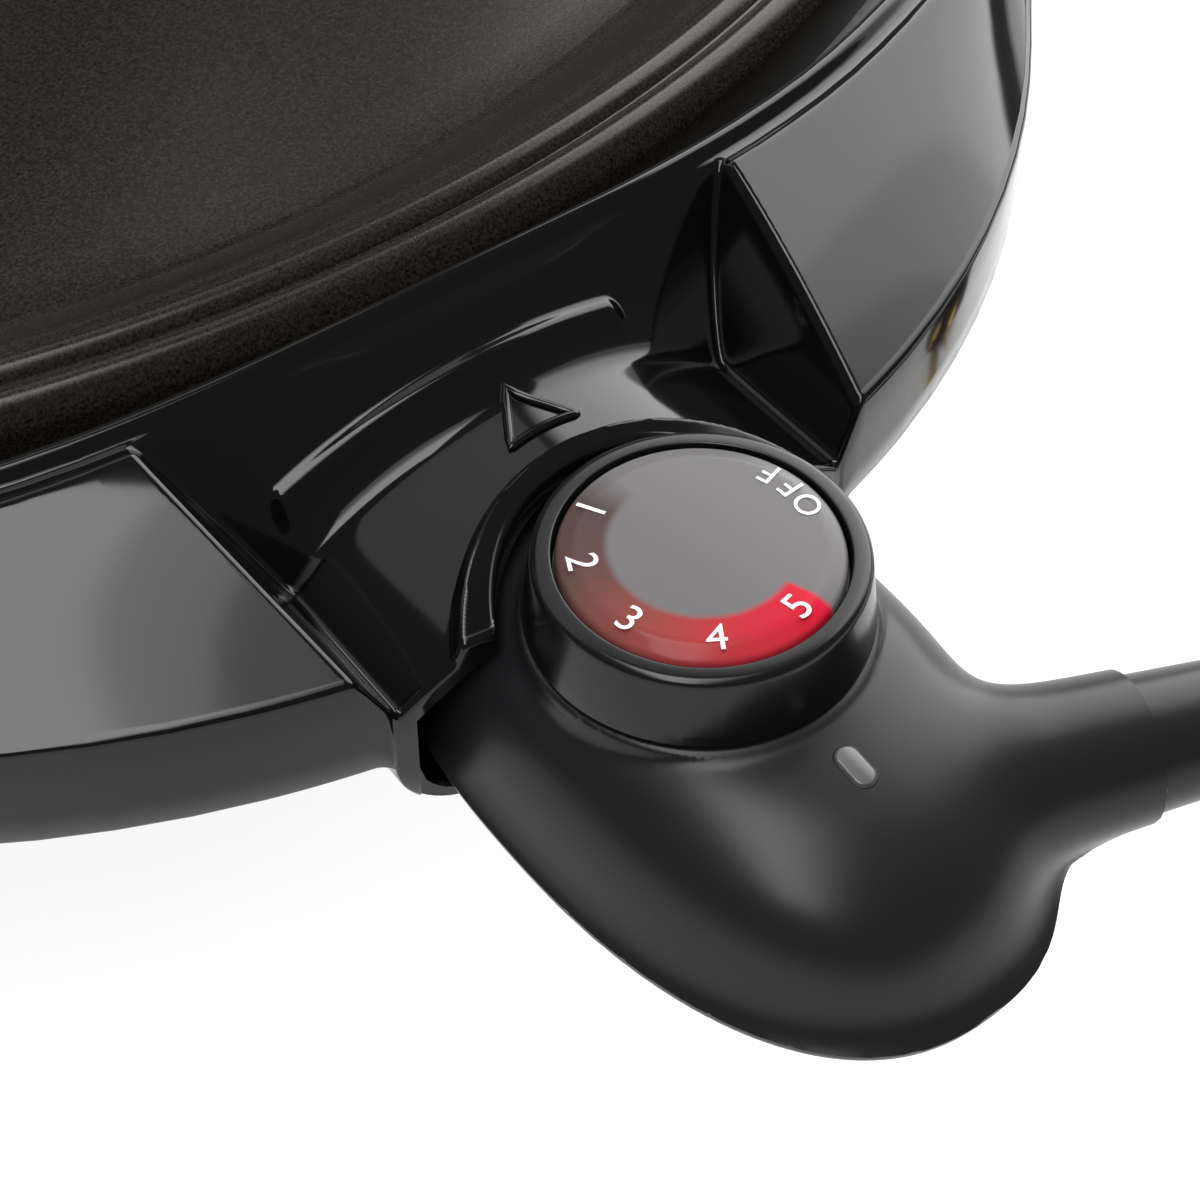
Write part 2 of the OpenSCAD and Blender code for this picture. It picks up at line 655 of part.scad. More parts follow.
module element_clips() color(steel) {
    foot = 12;
    clip_places() difference() {
        union() {
            rotate([90, 0, 0]) translate([0, element_z, -5]) difference() {
                linear_extrude(10) difference() {
                    circle(element_r + seat + 1.2);
                    circle(element_r + seat);
                    translate([-20, 0]) square([40, 20]);
                }
            }
            translate([channel_half_w + 0.1, -5, under_z - 1.2]) cube([foot, 10, 1.2]);
            translate([channel_half_w + 0.1, -5, element_z - 1.3]) cube([1.2, 10, under_z - element_z + 1.3]);
            translate([element_r + seat + 0.2, -5, element_z - 1.3])
                cube([channel_half_w - element_r + 0.6, 10, 1.2]);
        }
        translate([channel_half_w + 7, 0, under_z - 4]) cylinder(r = 1.6, h = 6);
    }
}
module clip_screws() color(steel) {
    clip_places() translate([channel_half_w + 7, 0, under_z - 1.2 - 2]) screw(3, 2, 1.55, 2.8);
}
module rim_screws() color(steel) {
    boss_places() translate([0, 0, flange_z - pan_t - 2]) screw(3, 2, rim_screw_r, pan_t + 3.5);
}

module foot_places() {
    for (x = [-1, 1]) for (y = [-1, 1]) translate([x * foot_xy, y * foot_xy, 0]) children();
}
module feet() color(black) {
    foot_places() difference() {
        translate([0, 0, foot_h]) cylinder(r1 = foot_r - 2, r2 = foot_r, h = pan_floor_z - foot_h);
        translate([0, 0, pan_floor_z - foot_screw_grip - 2])
            cylinder(r = foot_screw_r + seat, h = foot_screw_grip + 3);
    }
}
module foot_pads() color("#222222") {
    foot_places() cylinder(r1 = foot_r - 3.5, r2 = foot_r - 2.2, h = foot_h);
}
module foot_screws() color(steel) {
    foot_places() translate([0, 0, pan_floor_z + pan_t + foot_screw_head]) rotate([180, 0, 0])
        screw(2 * foot_screw_r, foot_screw_head, foot_screw_r, pan_t + foot_screw_grip);
}
socket_flange_r = socket_r + socket_flange;
module stand_socket() color(black) {
    mouth_z = pan_floor_z - socket_len - 3;
    difference() {
        union() {
            translate([0, 0, mouth_z]) cylinder(r = socket_r + 4, h = pan_floor_z - mouth_z);
            translate([0, 0, pan_floor_z - 4]) cylinder(r = socket_flange_r, h = 4);
        }
        translate([0, 0, mouth_z - 1]) cylinder(r = socket_r, h = socket_len + 1);
        for (a = [45 : 90 : 315]) rotate([0, 0, a])
            translate([socket_flange_r - 5, 0, pan_floor_z - 6]) cylinder(r = 2 + seat, h = 8);
    }
}
module tray_runners() color(steel) {
    for (s = [0, 1]) mirror([s, 0, 0]) {
        translate([tray_w / 2 + 1.5, tray_y - 8, tray_top_z - tray_lip_t - run - rail_t])
            cube([tray_lip + 2.5, tray_len + 12, rail_t]);
        translate([tray_w / 2 + tray_lip + 2, tray_y - 8, tray_top_z - tray_lip_t - run - rail_t])
            cube([2, tray_len + 12, pan_floor_z - tray_top_z + tray_lip_t + run + rail_t]);
    }
}
module grease_tray() color(steel) {
    low_z = tray_top_z - tray_h;
    difference() {
        union() {
            translate([-tray_w / 2, tray_y, low_z]) cube([tray_w, tray_len, tray_h]);
            translate([-tray_w / 2 - tray_lip + 0.5, tray_y, tray_top_z - tray_lip_t])
                cube([tray_w + 2 * tray_lip - 1, tray_len, tray_lip_t]);
            translate([-30, tray_y + tray_len - eps, tray_top_z - tray_lip_t]) cube([60, 14, tray_lip_t]);
        }
        translate([-tray_w / 2 + tray_wall, tray_y + tray_wall, low_z + tray_wall])
            cube([tray_w - 2 * tray_wall, tray_len - 2 * tray_wall, tray_h]);
    }
}

module hinge_bracket() color(dark_steel) {
    plate_back = front_reach + 4;
    ear_x = barrel_half + run + ear_t;
    bar_y = hinge_y + 4.5;
    difference() {
        union() {
            difference() {
                translate([-ear_x, front_reach - 6, skirt_z + 1])
                    cube([2 * ear_x, plate_back - front_reach + 6, hinge_z - barrel_r - 4 - skirt_z - 1]);
                translate([0, wing_y, 0]) cylinder(r = wing_r + skirt_flare + 0.15, h = 2 * plate_z, $fn = 200);
            }
            for (s = [0, 1]) mirror([s, 0, 0]) translate([ear_x - ear_t, 0, 0]) rotate([90, 0, 90])
                linear_extrude(ear_t) polygon([[front_reach + 1, skirt_z + 4], [plate_back, skirt_z + 4],
                    [hinge_y + 9, hinge_z - 8], [hinge_y + 9, hinge_z + 15], [hinge_y + 3, hinge_z + 15],
                    [hinge_y - 8, hinge_z + 6], [hinge_y - 8, hinge_z - 6], [front_reach + 1, hinge_z - 12]]);
            translate([-ear_x + eps, bar_y, hinge_z + 10]) cube([2 * ear_x - 2 * eps, 4, 5]);
        }
        translate([-ear_x - 1, hinge_y, hinge_z]) rotate([0, 90, 0]) cylinder(r = hinge_pin_r + seat, h = 2 * ear_x + 2);
        bracket_screw_places() translate([0, front_reach - 12, 0]) rotate([-90, 0, 0])
            cylinder(r = rivet_r + seat, h = 30);
    }
}
module bracket_screws() color(steel) {
    bracket_screw_places() {
        translate([0, front_reach + 6.2, 0]) rotate([90, 0, 0]) screw(3.8, 2.2, rivet_r, 14);
        translate([0, front_reach - 6, 0]) rotate([90, 0, 0]) difference() {
            cylinder(r = 3.8, h = 3, $fn = 6);
            translate([0, 0, -1]) cylinder(r = rivet_r + seat, h = 5);
        }
    }
}
module hinge_pin() color(steel) {
    half = barrel_half + run + ear_t + 1.5;
    translate([-half, hinge_y, hinge_z]) rotate([0, 90, 0]) {
        cylinder(r = hinge_pin_r, h = 2 * half);
        translate([0, 0, -1.5]) cylinder(r = hinge_pin_r + 2, h = 1.5 + eps);
    }
}
// The lid's pieces are drawn shut and turned open about the hinge pin
module lid_place() {
    translate([0, hinge_y, hinge_z]) rotate([-lid_open, 0, 0]) translate([0, -hinge_y, -hinge_z]) children();
}
module rivet_places() {
    for (s = [-1, 1]) translate([s * rivet_x, 0, rivet_z]) children();
}
module hinge_arm() color(dark_steel) lid_place() {
    tab_z = lid_seat_z + lid_trim_h + 1;
    difference() {
        union() {
            translate([-arm_half, lid_r - 4, tab_z]) cube([2 * arm_half, 4 + arm_t, lid_edge_h - lid_trim_h - 2]);
            translate([-arm_half, lid_r, hinge_z - arm_t / 2]) cube([2 * arm_half, hinge_y - lid_r, arm_t]);
            translate([-barrel_half, hinge_y, hinge_z]) rotate([0, 90, 0])
                cylinder(r = barrel_r, h = 2 * barrel_half);
        }
        cylinder(r = lid_r + seat, h = 3 * plate_z, $fn = 200);
        translate([-barrel_half - 1, hinge_y, hinge_z]) rotate([0, 90, 0])
            cylinder(r = hinge_pin_r + seat, h = 2 * barrel_half + 2);
        rivet_places() translate([0, lid_r - 10, 0]) rotate([-90, 0, 0]) cylinder(r = rivet_r + seat, h = 30);
    }
}
module arm_rivets() color(steel) lid_place() {
    rivet_places() {
        translate([0, lid_r + arm_t + 1.8, 0]) rotate([90, 0, 0]) screw(rivet_head_r, 1.8, rivet_r, arm_t + lid_t + 2);
    }
}
module handle_places() {
    for (s = [-1, 1]) translate([s * handle_half, 0, dome_z]) rotate([handle_tilt, 0, 0])
        translate([0, 0, dome_r]) children();
}
module lid_dome() color(black) lid_place() {
    difference() {
        union() {
            difference() {
                translate([0, 0, dome_z]) sphere(dome_r, $fn = 200);
                translate([0, 0, dome_z]) sphere(dome_r - lid_t, $fn = 200);
                translate([-lid_r * 3, -lid_r * 3, dome_z - 4 * lid_r + lid_skirt_top - dome_z])
                    cube([lid_r * 6, lid_r * 6, 4 * lid_r]);
            }
            translate([0, 0, lid_seat_z + lid_trim_h]) difference() {
                cylinder(r = lid_r, h = lid_edge_h - lid_trim_h + eps, $fn = 200);
                translate([0, 0, -1]) cylinder(r = lid_r - lid_t * 1.1, h = lid_edge_h, $fn = 200);
            }
        }
        rivet_places() translate([0, lid_r - 10, 0]) rotate([-90, 0, 0]) cylinder(r = rivet_r + seat, h = 30);
        handle_places() translate([0, 0, -screw_dip - 6]) cylinder(r = rivet_r + seat, h = screw_dip + 12);
    }
}
module lid_edge() color(steel) lid_place() {
    translate([0, 0, lid_seat_z]) difference() {
        cylinder(r = lid_r + 0.8, h = lid_trim_h, $fn = 200);
        translate([0, 0, -1]) cylinder(r = lid_r - 3, h = lid_trim_h + 2, $fn = 200);
    }
}
module handle_bar(r) {
    translate([-handle_len / 2, 0, dome_z]) rotate([handle_tilt, 0, 0])
        translate([0, 0, dome_r + handle_rise]) rotate([0, 90, 0]) cylinder(r = r, h = handle_len);
}
module handle_posts() color(steel) lid_place() {
    difference() {
        handle_places() translate([0, 0, -post_foot]) cylinder(r = post_r, h = handle_rise + post_foot);
        translate([0, 0, dome_z]) sphere(dome_r + seat, $fn = 200);
        handle_bar(handle_r + seat);
        handle_places() translate([0, 0, -post_foot - 1]) cylinder(r = rivet_r + seat, h = post_foot + 11);
    }
}
module lid_handle() color(black) lid_place() {
    translate([-handle_len / 2, 0, dome_z]) rotate([handle_tilt, 0, 0])
        translate([0, 0, dome_r + handle_rise]) rotate([0, 90, 0]) rotate_extrude() intersection() {
            union() {
                square([handle_r, handle_len]);
                circle(handle_r);
                translate([0, handle_len]) circle(handle_r);
            }
            translate([0, -handle_r]) square([handle_r, handle_len + 2 * handle_r]);
        }
}
module handle_screws() color(steel) lid_place() {
    handle_places() translate([0, 0, -screw_dip - handle_screw_h])
        screw(handle_screw_r, handle_screw_h, rivet_r, screw_dip + 8);
}

// The control's bores, cut through its shells
module control_bores() {
    translate([0, dial_y, floor_in_z + 4]) cylinder(r = spindle_r + seat, h = 60);
    for (s = [-1, 1]) translate([s * contact_gap, nose_y + 1, probe_z]) rotate([90, 0, 0])
        cylinder(r = pin_r + 1.4, h = shell_t + 2);
    translate([0, nose_y + 1, probe_z]) rotate([90, 0, 0]) cylinder(r = probe_r + seat, h = shell_t + 2);
    translate([0, lamp_y, deck_z - 6]) linear_extrude(12) pill(seat);
}
module pill(grow) {
    run_half = (lamp_len - lamp_w) / 2;
    for (s = [-1, 1]) translate([0, s * run_half]) circle(lamp_w / 2 + grow);
    translate([-lamp_w / 2 - grow, -run_half]) square([lamp_w + 2 * grow, 2 * run_half]);
}
module neck(r, back) {
    translate(neck_end) rotate([0, 0, neck_turn]) rotate([0, -90, 0]) cylinder(r = r, h = back);
}
module past_nose(y) {
    translate([-2 * body_half_w, y, 0]) cube([4 * body_half_w, 2 * body_half_l, 2 * plate_z]);
}
module control_upper_shell() color(satin) {
    in_w = body_half_w - shell_t;
    in_l = body_half_l - shell_t;
    difference() {
        union() {
            difference() {
                polyhedron(egg_dome(body_half_w, body_half_l, parting_z, body_h),
                    stack_faces(len(dome_turns), body_steps), convexity = 6);
                past_nose(nose_y);
            }
            translate([0, dial_y, parting_z + 6]) cylinder(r = deck_r, h = deck_z - parting_z - 6);
            translate(neck_end) rotate([0, 0, neck_turn]) rotate([0, -90, 0])
                cylinder(r1 = neck_r, r2 = neck_r + 1, h = 17);
        }
        difference() {
            polyhedron(concat(egg_ring(in_w, in_l, parting_z - 12),
                egg_dome(in_w, in_l, parting_z + eps, body_h - shell_t)),
                stack_faces(len(dome_turns) + 1, body_steps), convexity = 6);
            past_nose(nose_y - shell_t);
        }
        translate(neck_dir) neck(relief_r - 1.5, 30);
        control_bores();
    }
}
lower_levels = [[0, 0.84], [0.05, 0.9], [0.25, 0.955], [0.6, 0.988], [1, 1]];
module control_lower_shell() color(satin) {
    difference() {
        union() {
            difference() {
                polyhedron([for (l = lower_levels)
                    each egg_ring(body_half_w * l[1], body_half_l * l[1], parting_z - lower_h * (1 - l[0]))],
                    stack_faces(len(lower_levels), body_steps), convexity = 6);
                difference() {
                    polyhedron(concat(egg_ring(body_half_w - 4.2, body_half_l - 4.2, floor_in_z),
                        egg_ring(body_half_w - 4.2, body_half_l - 4.2, parting_z + 5)),
                        stack_faces(2, body_steps), convexity = 6);
                    past_nose(nose_y - shell_t);
                }
                past_nose(nose_y);
            }
            shell_screw_places() translate([0, 0, floor_in_z - 1]) cylinder(r = 3.6, h = 10);
        }
        neck(neck_r + 1 + run, 40);
        shell_screw_places() translate([0, 0, parting_z - lower_h - 1]) cylinder(r = 1.5 + seat, h = 20);
        shell_screw_places() translate([0, 0, parting_z - lower_h - 1]) cylinder(r = 2.9, h = 2);
    }
}
module shell_screw_places() {
    for (p = [[-16, body_y - 16], [16, body_y - 16], [0, body_y - 36]]) translate([p[0], p[1], 0]) children();
}
module shell_screws() color(steel) {
    shell_screw_places() translate([0, 0, parting_z - lower_h + 0.2]) screw(2.7, 0.8, 1.5, 8);
}

module dial_knob() color(black) {
    ring_in = lens_r + run;
    floor_t = 2.5;
    translate([0, dial_y, 0]) difference() {
        rotate_extrude() polygon([[0, knob_z], [knob_base_r - 0.4, knob_z], [knob_base_r, knob_z + 0.6],
            [knob_top_r + 0.3, knob_top_z - 0.9], [knob_top_r, knob_top_z - 0.3], [knob_top_r - 0.5, knob_top_z],
            [ring_in + 0.4, knob_top_z], [ring_in, knob_top_z - 0.4], [ring_in, lens_z - lens_t],
            [0, lens_z - lens_t]]);
        translate([0, 0, knob_z - 1]) cylinder(r = spindle_r + seat, h = lens_z - lens_t - knob_z + 1 - floor_t + 1);
    }
}
module dial_lens() color(clear_grey) {
    flat_r = lens_r * 0.88;
    translate([0, dial_y, 0]) rotate_extrude() polygon([[0, lens_z - lens_t], [lens_r, lens_z - lens_t],
        [lens_r, lens_z - 1.5], [lens_r - 0.3, lens_z - 0.8], [lens_r - 0.9, lens_z - 0.25],
        [flat_r, lens_z], [0, lens_z]]);
}
spindle_z = floor_in_z + 10;
module dial_spindle() color(steel) {
    translate([0, dial_y, spindle_z + run]) cylinder(r = spindle_r, h = lens_z - lens_t - 2 - spindle_z - run);
}
lamp_top_z = deck_z - 0.5;
module lamp_lens() color("#9a9a9a") {
    translate([0, lamp_y, lamp_top_z - 3.2]) linear_extrude(3.2) pill(0);
}
module pilot_lamp() color(red) {
    translate([0, lamp_y, floor_in_z]) {
        cylinder(r = 3, h = 4);
        translate([0, 0, 4 - eps]) cylinder(r = 2, h = lamp_top_z - 3.2 - floor_in_z - 4 - 2.5);
        translate([0, 0, lamp_top_z - 3.2 - floor_in_z - 2.5]) sphere(2);
    }
}
module probe_rod() color(steel) {
    translate([0, block_y - block_len, probe_z]) rotate([-90, 0, 0]) {
        cylinder(r = probe_r, h = probe_len + block_len + shell_t);
        translate([0, 0, probe_len + block_len + shell_t]) sphere(probe_r);
    }
}
module contact_sleeves() color(steel) {
    for (s = [-1, 1]) translate([s * contact_gap, nose_y - 0.5, probe_z]) rotate([90, 0, 0]) difference() {
        cylinder(r = pin_r + 1.3, h = block_len + shell_t);
        translate([0, 0, -1]) cylinder(r = pin_r + 0.1, h = block_len + shell_t + 2);
    }
}
module contact_block() color(ceramic) {
    half = contact_gap + pin_r + 2.2;
    difference() {
        translate([-half, block_y - block_len, floor_in_z]) cube([2 * half, block_len, probe_z - floor_in_z]);
        for (s = [-1, 1]) translate([s * contact_gap, block_y + 1, probe_z]) rotate([90, 0, 0])
            cylinder(r = pin_r + 1.3 + seat, h = block_len + 2);
        translate([0, block_y + 1, probe_z]) rotate([90, 0, 0]) cylinder(r = probe_r + seat, h = block_len + 2);
    }
}
module thermostat_switch() color(ceramic) {
    translate([-12, dial_y - 13, floor_in_z]) cube([24, 22, spindle_z - floor_in_z]);
}
module cord_clamp() color(black) {
    translate(neck_end - 27 * neck_dir) rotate([0, 0, neck_turn]) difference() {
        translate([0, -6, floor_in_z - neck_z]) cube([8, 12, 12]);
        translate([-1, 0, 0]) rotate([0, 90, 0]) cylinder(r = cord_d / 2 + seat, h = 10);
    }
}
module strain_relief() color(black) {
    translate(neck_end) rotate([0, 0, neck_turn]) rotate([0, 90, 0]) {
        cylinder(r1 = relief_r, r2 = relief_tip_r, h = relief_len);
        translate([0, 0, -16]) cylinder(r = relief_r - 1.5 - seat, h = 16 + eps);
    }
}

// The coil spirals in on the table, climbs half a turn and spirals out again on top
coil_half = coil_turns * coil_steps;
coil_climb = coil_steps / 2;
function coil_point(i) =
    let (n = min(i, 2 * coil_half + coil_climb - i),
         r = coil_out_r - coil_pitch * n / coil_steps,
         lift = min(max((i - coil_half) / coil_climb, 0), 1),
         a = -90 + 360 * i / coil_steps)
    [coil_centre[0] + r * cos(a), coil_centre[1] + r * sin(a),
     coil_low_z + coil_layer * (1 - cos(180 * lift)) / 2];
coil_last = 2 * coil_half + coil_climb;
coil_path = [for (i = [0 : coil_last]) coil_point(i)];
coil_end = coil_path[coil_last];
coil_tube = concat([coil_entry], coil_path, [coil_end - [tail_len - cord_d, 0, 0], coil_end - [tail_len, 0, 0]]);
coil_gap = min([for (i = [0 : coil_last]) for (j = [i + coil_steps / 2 : 1 : coil_last])
    norm(coil_path[i] - coil_path[j])]) - cord_d;
echo(coil_least_gap_to_itself = coil_gap);
free_path = concat([cord_exit], cord_route, [coil_entry]);
function path_len(path) = [for (i = [1 : len(path) - 1]) norm(path[i] - path[i - 1])] * [for (i = [1 : len(path) - 1]) 1];
echo(cord_length = path_len(free_path) + path_len(coil_tube));
module power_cord() color(black) {
    tube(free_path, cord_d / 2, 8);
}
module cord_coil() color(black) {
    tube(coil_tube, cord_d / 2, 6);
}
module coil_tie() color("#333333") {
    first_r = coil_out_r - coil_pitch * 0.25;
    last_r = coil_in_r + coil_pitch * 0.5;
    in_w = first_r - last_r + cord_d + 2 * tie_gap + 0.6;
    in_h = coil_layer + cord_d + 2 * tie_gap;
    mid_r = (first_r + last_r) / 2;
    translate([coil_centre[0] + mid_r, coil_centre[1] + tie_w / 2, coil_lift - tie_gap + in_h / 2])
        rotate([90, 0, 0]) linear_extrude(tie_w) difference() {
            square([in_w + 2 * tie_t, in_h + 2 * tie_t], center = true);
            square([in_w, in_h], center = true);
        }
}
plug_face = coil_end - [tail_len, 0, 0];
plug_neck = 16;
module plug_body() color(black) {
    translate(plug_face) rotate([0, -90, 0]) {
        cylinder(r1 = cord_d / 2 + 1.5, r2 = cord_d / 2 + 4, h = plug_neck);
        translate([0, 0, plug_neck - eps]) difference() {
            cylinder(r1 = plug_half, r2 = plug_half + 1, h = plug_len - plug_neck);
            translate([-plug_face[2] - 20, -30, -1]) cube([20, 60, 60]);
        }
    }
}
module plug_pins() color("#c9a45a") {
    blade_gap = 6.35;
    translate(plug_face - [plug_len - eps, 0, 0]) {
        for (s = [-1, 1]) translate([-16, s * blade_gap - 0.75, -0.5]) cube([16, 1.5, 6.3]);
        translate([0, 0, -6.5]) rotate([0, -90, 0]) cylinder(r = 2.4, h = 19);
    }
}

rim_housing();
base_pan();
heat_reflector();
grill_plate();
heating_element();
terminal_pins();
terminal_bracket();
probe_socket();
element_clips();
clip_screws();
rim_screws();
feet();
foot_pads();
foot_screws();
stand_socket();
tray_runners();
grease_tray();
hinge_bracket();
bracket_screws();
hinge_pin();
hinge_arm();
arm_rivets();
lid_dome();
lid_edge();
handle_posts();
lid_handle();
handle_screws();
control_upper_shell();
control_lower_shell();
shell_screws();
dial_knob();
dial_lens();
dial_spindle();
lamp_lens();
pilot_lamp();
probe_rod();
contact_sleeves();
contact_block();
thermostat_switch();
cord_clamp();
strain_relief();
power_cord();
cord_coil();
coil_tie();
plug_body();
plug_pins();
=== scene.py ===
# %% [markdown]
# # A round electric grill, dressed over its solid model
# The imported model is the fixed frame: every piece below is made where its solid is, in metres.
# Sizes are written in millimetres and turned to metres with MM.

# %% Load the frame
import json
import math
import bpy
import numpy as np
from mathutils import Matrix, Quaternion, Vector


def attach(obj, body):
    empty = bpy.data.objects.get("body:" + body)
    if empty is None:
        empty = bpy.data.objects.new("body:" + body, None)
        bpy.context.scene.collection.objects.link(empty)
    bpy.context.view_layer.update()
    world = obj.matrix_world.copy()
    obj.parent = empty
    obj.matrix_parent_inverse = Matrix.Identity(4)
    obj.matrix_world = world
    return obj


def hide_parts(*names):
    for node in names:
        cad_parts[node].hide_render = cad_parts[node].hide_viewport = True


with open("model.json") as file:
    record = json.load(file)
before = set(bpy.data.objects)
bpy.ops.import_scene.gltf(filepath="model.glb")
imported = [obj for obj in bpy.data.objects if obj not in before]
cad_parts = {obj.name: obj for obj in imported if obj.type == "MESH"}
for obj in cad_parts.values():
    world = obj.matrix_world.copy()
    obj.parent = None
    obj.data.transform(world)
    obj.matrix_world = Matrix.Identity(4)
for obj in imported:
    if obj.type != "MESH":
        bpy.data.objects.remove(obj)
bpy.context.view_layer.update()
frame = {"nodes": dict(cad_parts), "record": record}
MM = 0.001
nodes = frame["nodes"]

# %% [markdown]
# ## The camera
# The photograph looks down on the control from its left front, at about 49 degrees above the table.
# The camera stands at the height where the plate's edge, the dial and the rim all fall in their places.

# %% Camera
SENSOR_MM, LENS_MM = 36, 66.09
CAMERA_AT = (-0.1016, -0.3855, 0.2794)
TILT_DEG, TURN_DEG = 41.04, -37.13
camera_data = bpy.data.cameras.new("camera")
camera_data.sensor_width = SENSOR_MM
camera_data.lens = LENS_MM
camera_data.clip_start = 0.01
camera = bpy.data.objects.new("camera", camera_data)
bpy.context.scene.collection.objects.link(camera)
camera.location = CAMERA_AT
camera.rotation_euler = (math.radians(TILT_DEG), 0, math.radians(TURN_DEG))
bpy.context.scene.camera = camera
print("camera at", tuple(camera.location))

# %% [markdown]
# ## The cord
# A mains lead is a fixed length of something flexible. It leaves the strain relief level, sinks to the
# table and is put away in a coil of two layers, so one open curve with a round bevel is the whole lead.
# The curve then becomes a mesh, because Blender's box round a curve reaches far past its thin tube and the
# size note at the end would be wrong.

# %% The cord's route
LEAD_D, RELIEF_LEN, TAIL_LEN = 8.4, 45, 25
CORD_D = LEAD_D * MM
neck_turn = math.radians(-20)
neck_dir = np.array([math.cos(neck_turn), math.sin(neck_turn), 0])
neck_end = np.array([32.0, -304.3, 88.0])
cord_exit = neck_end + RELIEF_LEN * neck_dir
free_route = [
    [85, -323.6, 88], [93, -327, 87.8], [101, -330.8, 86.2], [109, -334.6, 83], [118, -338.4, 78],
    [126, -342.2, 71.6], [134, -346, 64], [142, -349.8, 55.5], [150, -353.4, 46.6], [158, -357, 37.7],
    [167, -360.2, 29], [175, -363, 21.4], [184, -365.4, 14.9], [193, -367.3, 10], [202, -368.8, 6.8],
    [210, -369.4, 5.7]]
coil_x, coil_y, coil_out = 225, -308.5, 61
coil_pitch, coil_layer, low_z = 9, 8.9, 5.6
half_steps, climb_steps, turn_steps = 60, 12, 24
# The coil winds in on the table, climbs one layer and winds out again on top.
coil_route = []
for i in range(2 * half_steps + climb_steps + 1):
    wound = min(i, 2 * half_steps + climb_steps - i)
    r = coil_out - coil_pitch * wound / turn_steps
    lift = min(max((i - half_steps) / climb_steps, 0), 1)
    a = math.radians(-90 + 360 * i / turn_steps)
    coil_route.append([coil_x + r * math.cos(a), coil_y + r * math.sin(a),
                       low_z + coil_layer * (1 - math.cos(math.pi * lift)) / 2])
tail_end = np.array(coil_route[-1]) - [TAIL_LEN, 0, 0]
coil_start = [coil_x - LEAD_D, coil_y - coil_out, low_z]
tail = [list(tail_end + [LEAD_D, 0, 0]), list(tail_end)]
route = np.array([list(cord_exit)] + free_route + [coil_start] + coil_route + tail) * MM

# %% The cord's curve
cord_curve = bpy.data.curves.new("mains_lead", "CURVE")
cord_curve.dimensions = "3D"
cord_curve.bevel_depth = CORD_D / 2
cord_curve.bevel_resolution = 5
cord_curve.use_fill_caps = True
lead = cord_curve.splines.new("POLY")
lead.points.add(len(route) - 1)
lead.points.foreach_set("co", np.hstack([route, np.ones((len(route), 1))]).ravel())
cord = bpy.data.objects.new("mains_lead", cord_curve)
bpy.context.scene.collection.objects.link(cord)
bpy.ops.object.select_all(action="DESELECT")
cord.select_set(True)
bpy.context.view_layer.objects.active = cord
bpy.ops.object.convert(target="MESH")
cord = bpy.context.object
cord.name = cord.data.name = "mains_lead"
bpy.ops.object.shade_smooth_by_angle(angle=math.radians(50))
print("cord triangles:", sum(len(face.vertices) - 2 for face in cord.data.polygons))
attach(cord, "control")
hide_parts("power_cord", "cord_coil")

# %% [markdown]
# ## Helpers for materials
# Every colour is an sRGB hex value, so one function turns it to the linear numbers that shaders use.
# One more function adds a node, sets it and links it.

# %% Material helpers
def colour(hex_code):
    """An sRGB hex value as the linear numbers of a shader."""
    parts = [int(hex_code[i:i + 2], 16) / 255 for i in (1, 3, 5)]
    return tuple(c / 12.92 if c <= 0.04045 else ((c + 0.055) / 1.055) ** 2.4 for c in parts) + (1.0,)


def add(tree, kind, inputs=None, **settings):
    """Adds one node; an input is a value or the socket that it is linked to."""
    new = tree.nodes.new(kind)
    for name, value in settings.items():
        setattr(new, name, value)
    for name, value in (inputs or {}).items():
        if isinstance(value, bpy.types.NodeSocket):
            tree.links.new(value, new.inputs[name])
        else:
            new.inputs[name].default_value = value
    return new


def surface(name, **sockets):
    """A new finish on a Principled shader, with the given sockets set."""
    print("finish:", name)
    made = bpy.data.materials.new(name)
    made.use_nodes = True
    shader = made.node_tree.nodes["Principled BSDF"]
    for socket, value in sockets.items():
        shader.inputs[socket.replace("_", " ")].default_value = value
    return made, made.node_tree, shader


def place(tree):
    """The point's place on the object, in metres."""
    return add(tree, "ShaderNodeTexCoord").outputs["Object"]


# %% [markdown]
# ## Moulded plastics, nonstick and metals
# The rim is gloss black phenolic: a mirror-like moulded skin with a faint long ripple from the mould.
# The control is satin black ABS with a very fine grain. The plate is cast aluminium under a bronze-grey
# nonstick coat full of tiny flakes. Sheet steel parts are painted, and the small ones are bright steel.

# %% Gloss black phenolic
gloss_black, tree, shader = surface("gloss_black_phenolic", Base_Color=colour("#080809"),
                                    Specular_IOR_Level=0.3)
# The mould's ripple is about 30 mm long and only shows as a slow bend in a reflection.
ripple = add(tree, "ShaderNodeTexNoise", {"Vector": place(tree), "Scale": 1 / (30 * MM), "Detail": 1.0})
bump = add(tree, "ShaderNodeBump", {"Height": ripple.outputs["Fac"], "Strength": 0.02, "Distance": 0.2 * MM})
tree.links.new(bump.outputs["Normal"], shader.inputs["Normal"])
# Handling marks: the gloss changes a little over 60 mm patches.
marks = add(tree, "ShaderNodeTexNoise", {"Vector": place(tree), "Scale": 1 / (60 * MM), "Detail": 3.0})
gloss = add(tree, "ShaderNodeMapRange", {"Value": marks.outputs["Fac"], "To Min": 0.06, "To Max": 0.11})
tree.links.new(gloss.outputs["Result"], shader.inputs["Roughness"])

# %% Satin black ABS
satin_black, tree, shader = surface("satin_black_abs", Base_Color=colour("#18181a"),
                                    Specular_IOR_Level=0.25)
# A spark-eroded mould leaves a grain of about 0.25 mm.
grain = add(tree, "ShaderNodeTexNoise", {"Vector": place(tree), "Scale": 1 / (0.25 * MM), "Detail": 2.0})
bump = add(tree, "ShaderNodeBump", {"Height": grain.outputs["Fac"], "Strength": 0.05, "Distance": 0.03 * MM})
tree.links.new(bump.outputs["Normal"], shader.inputs["Normal"])
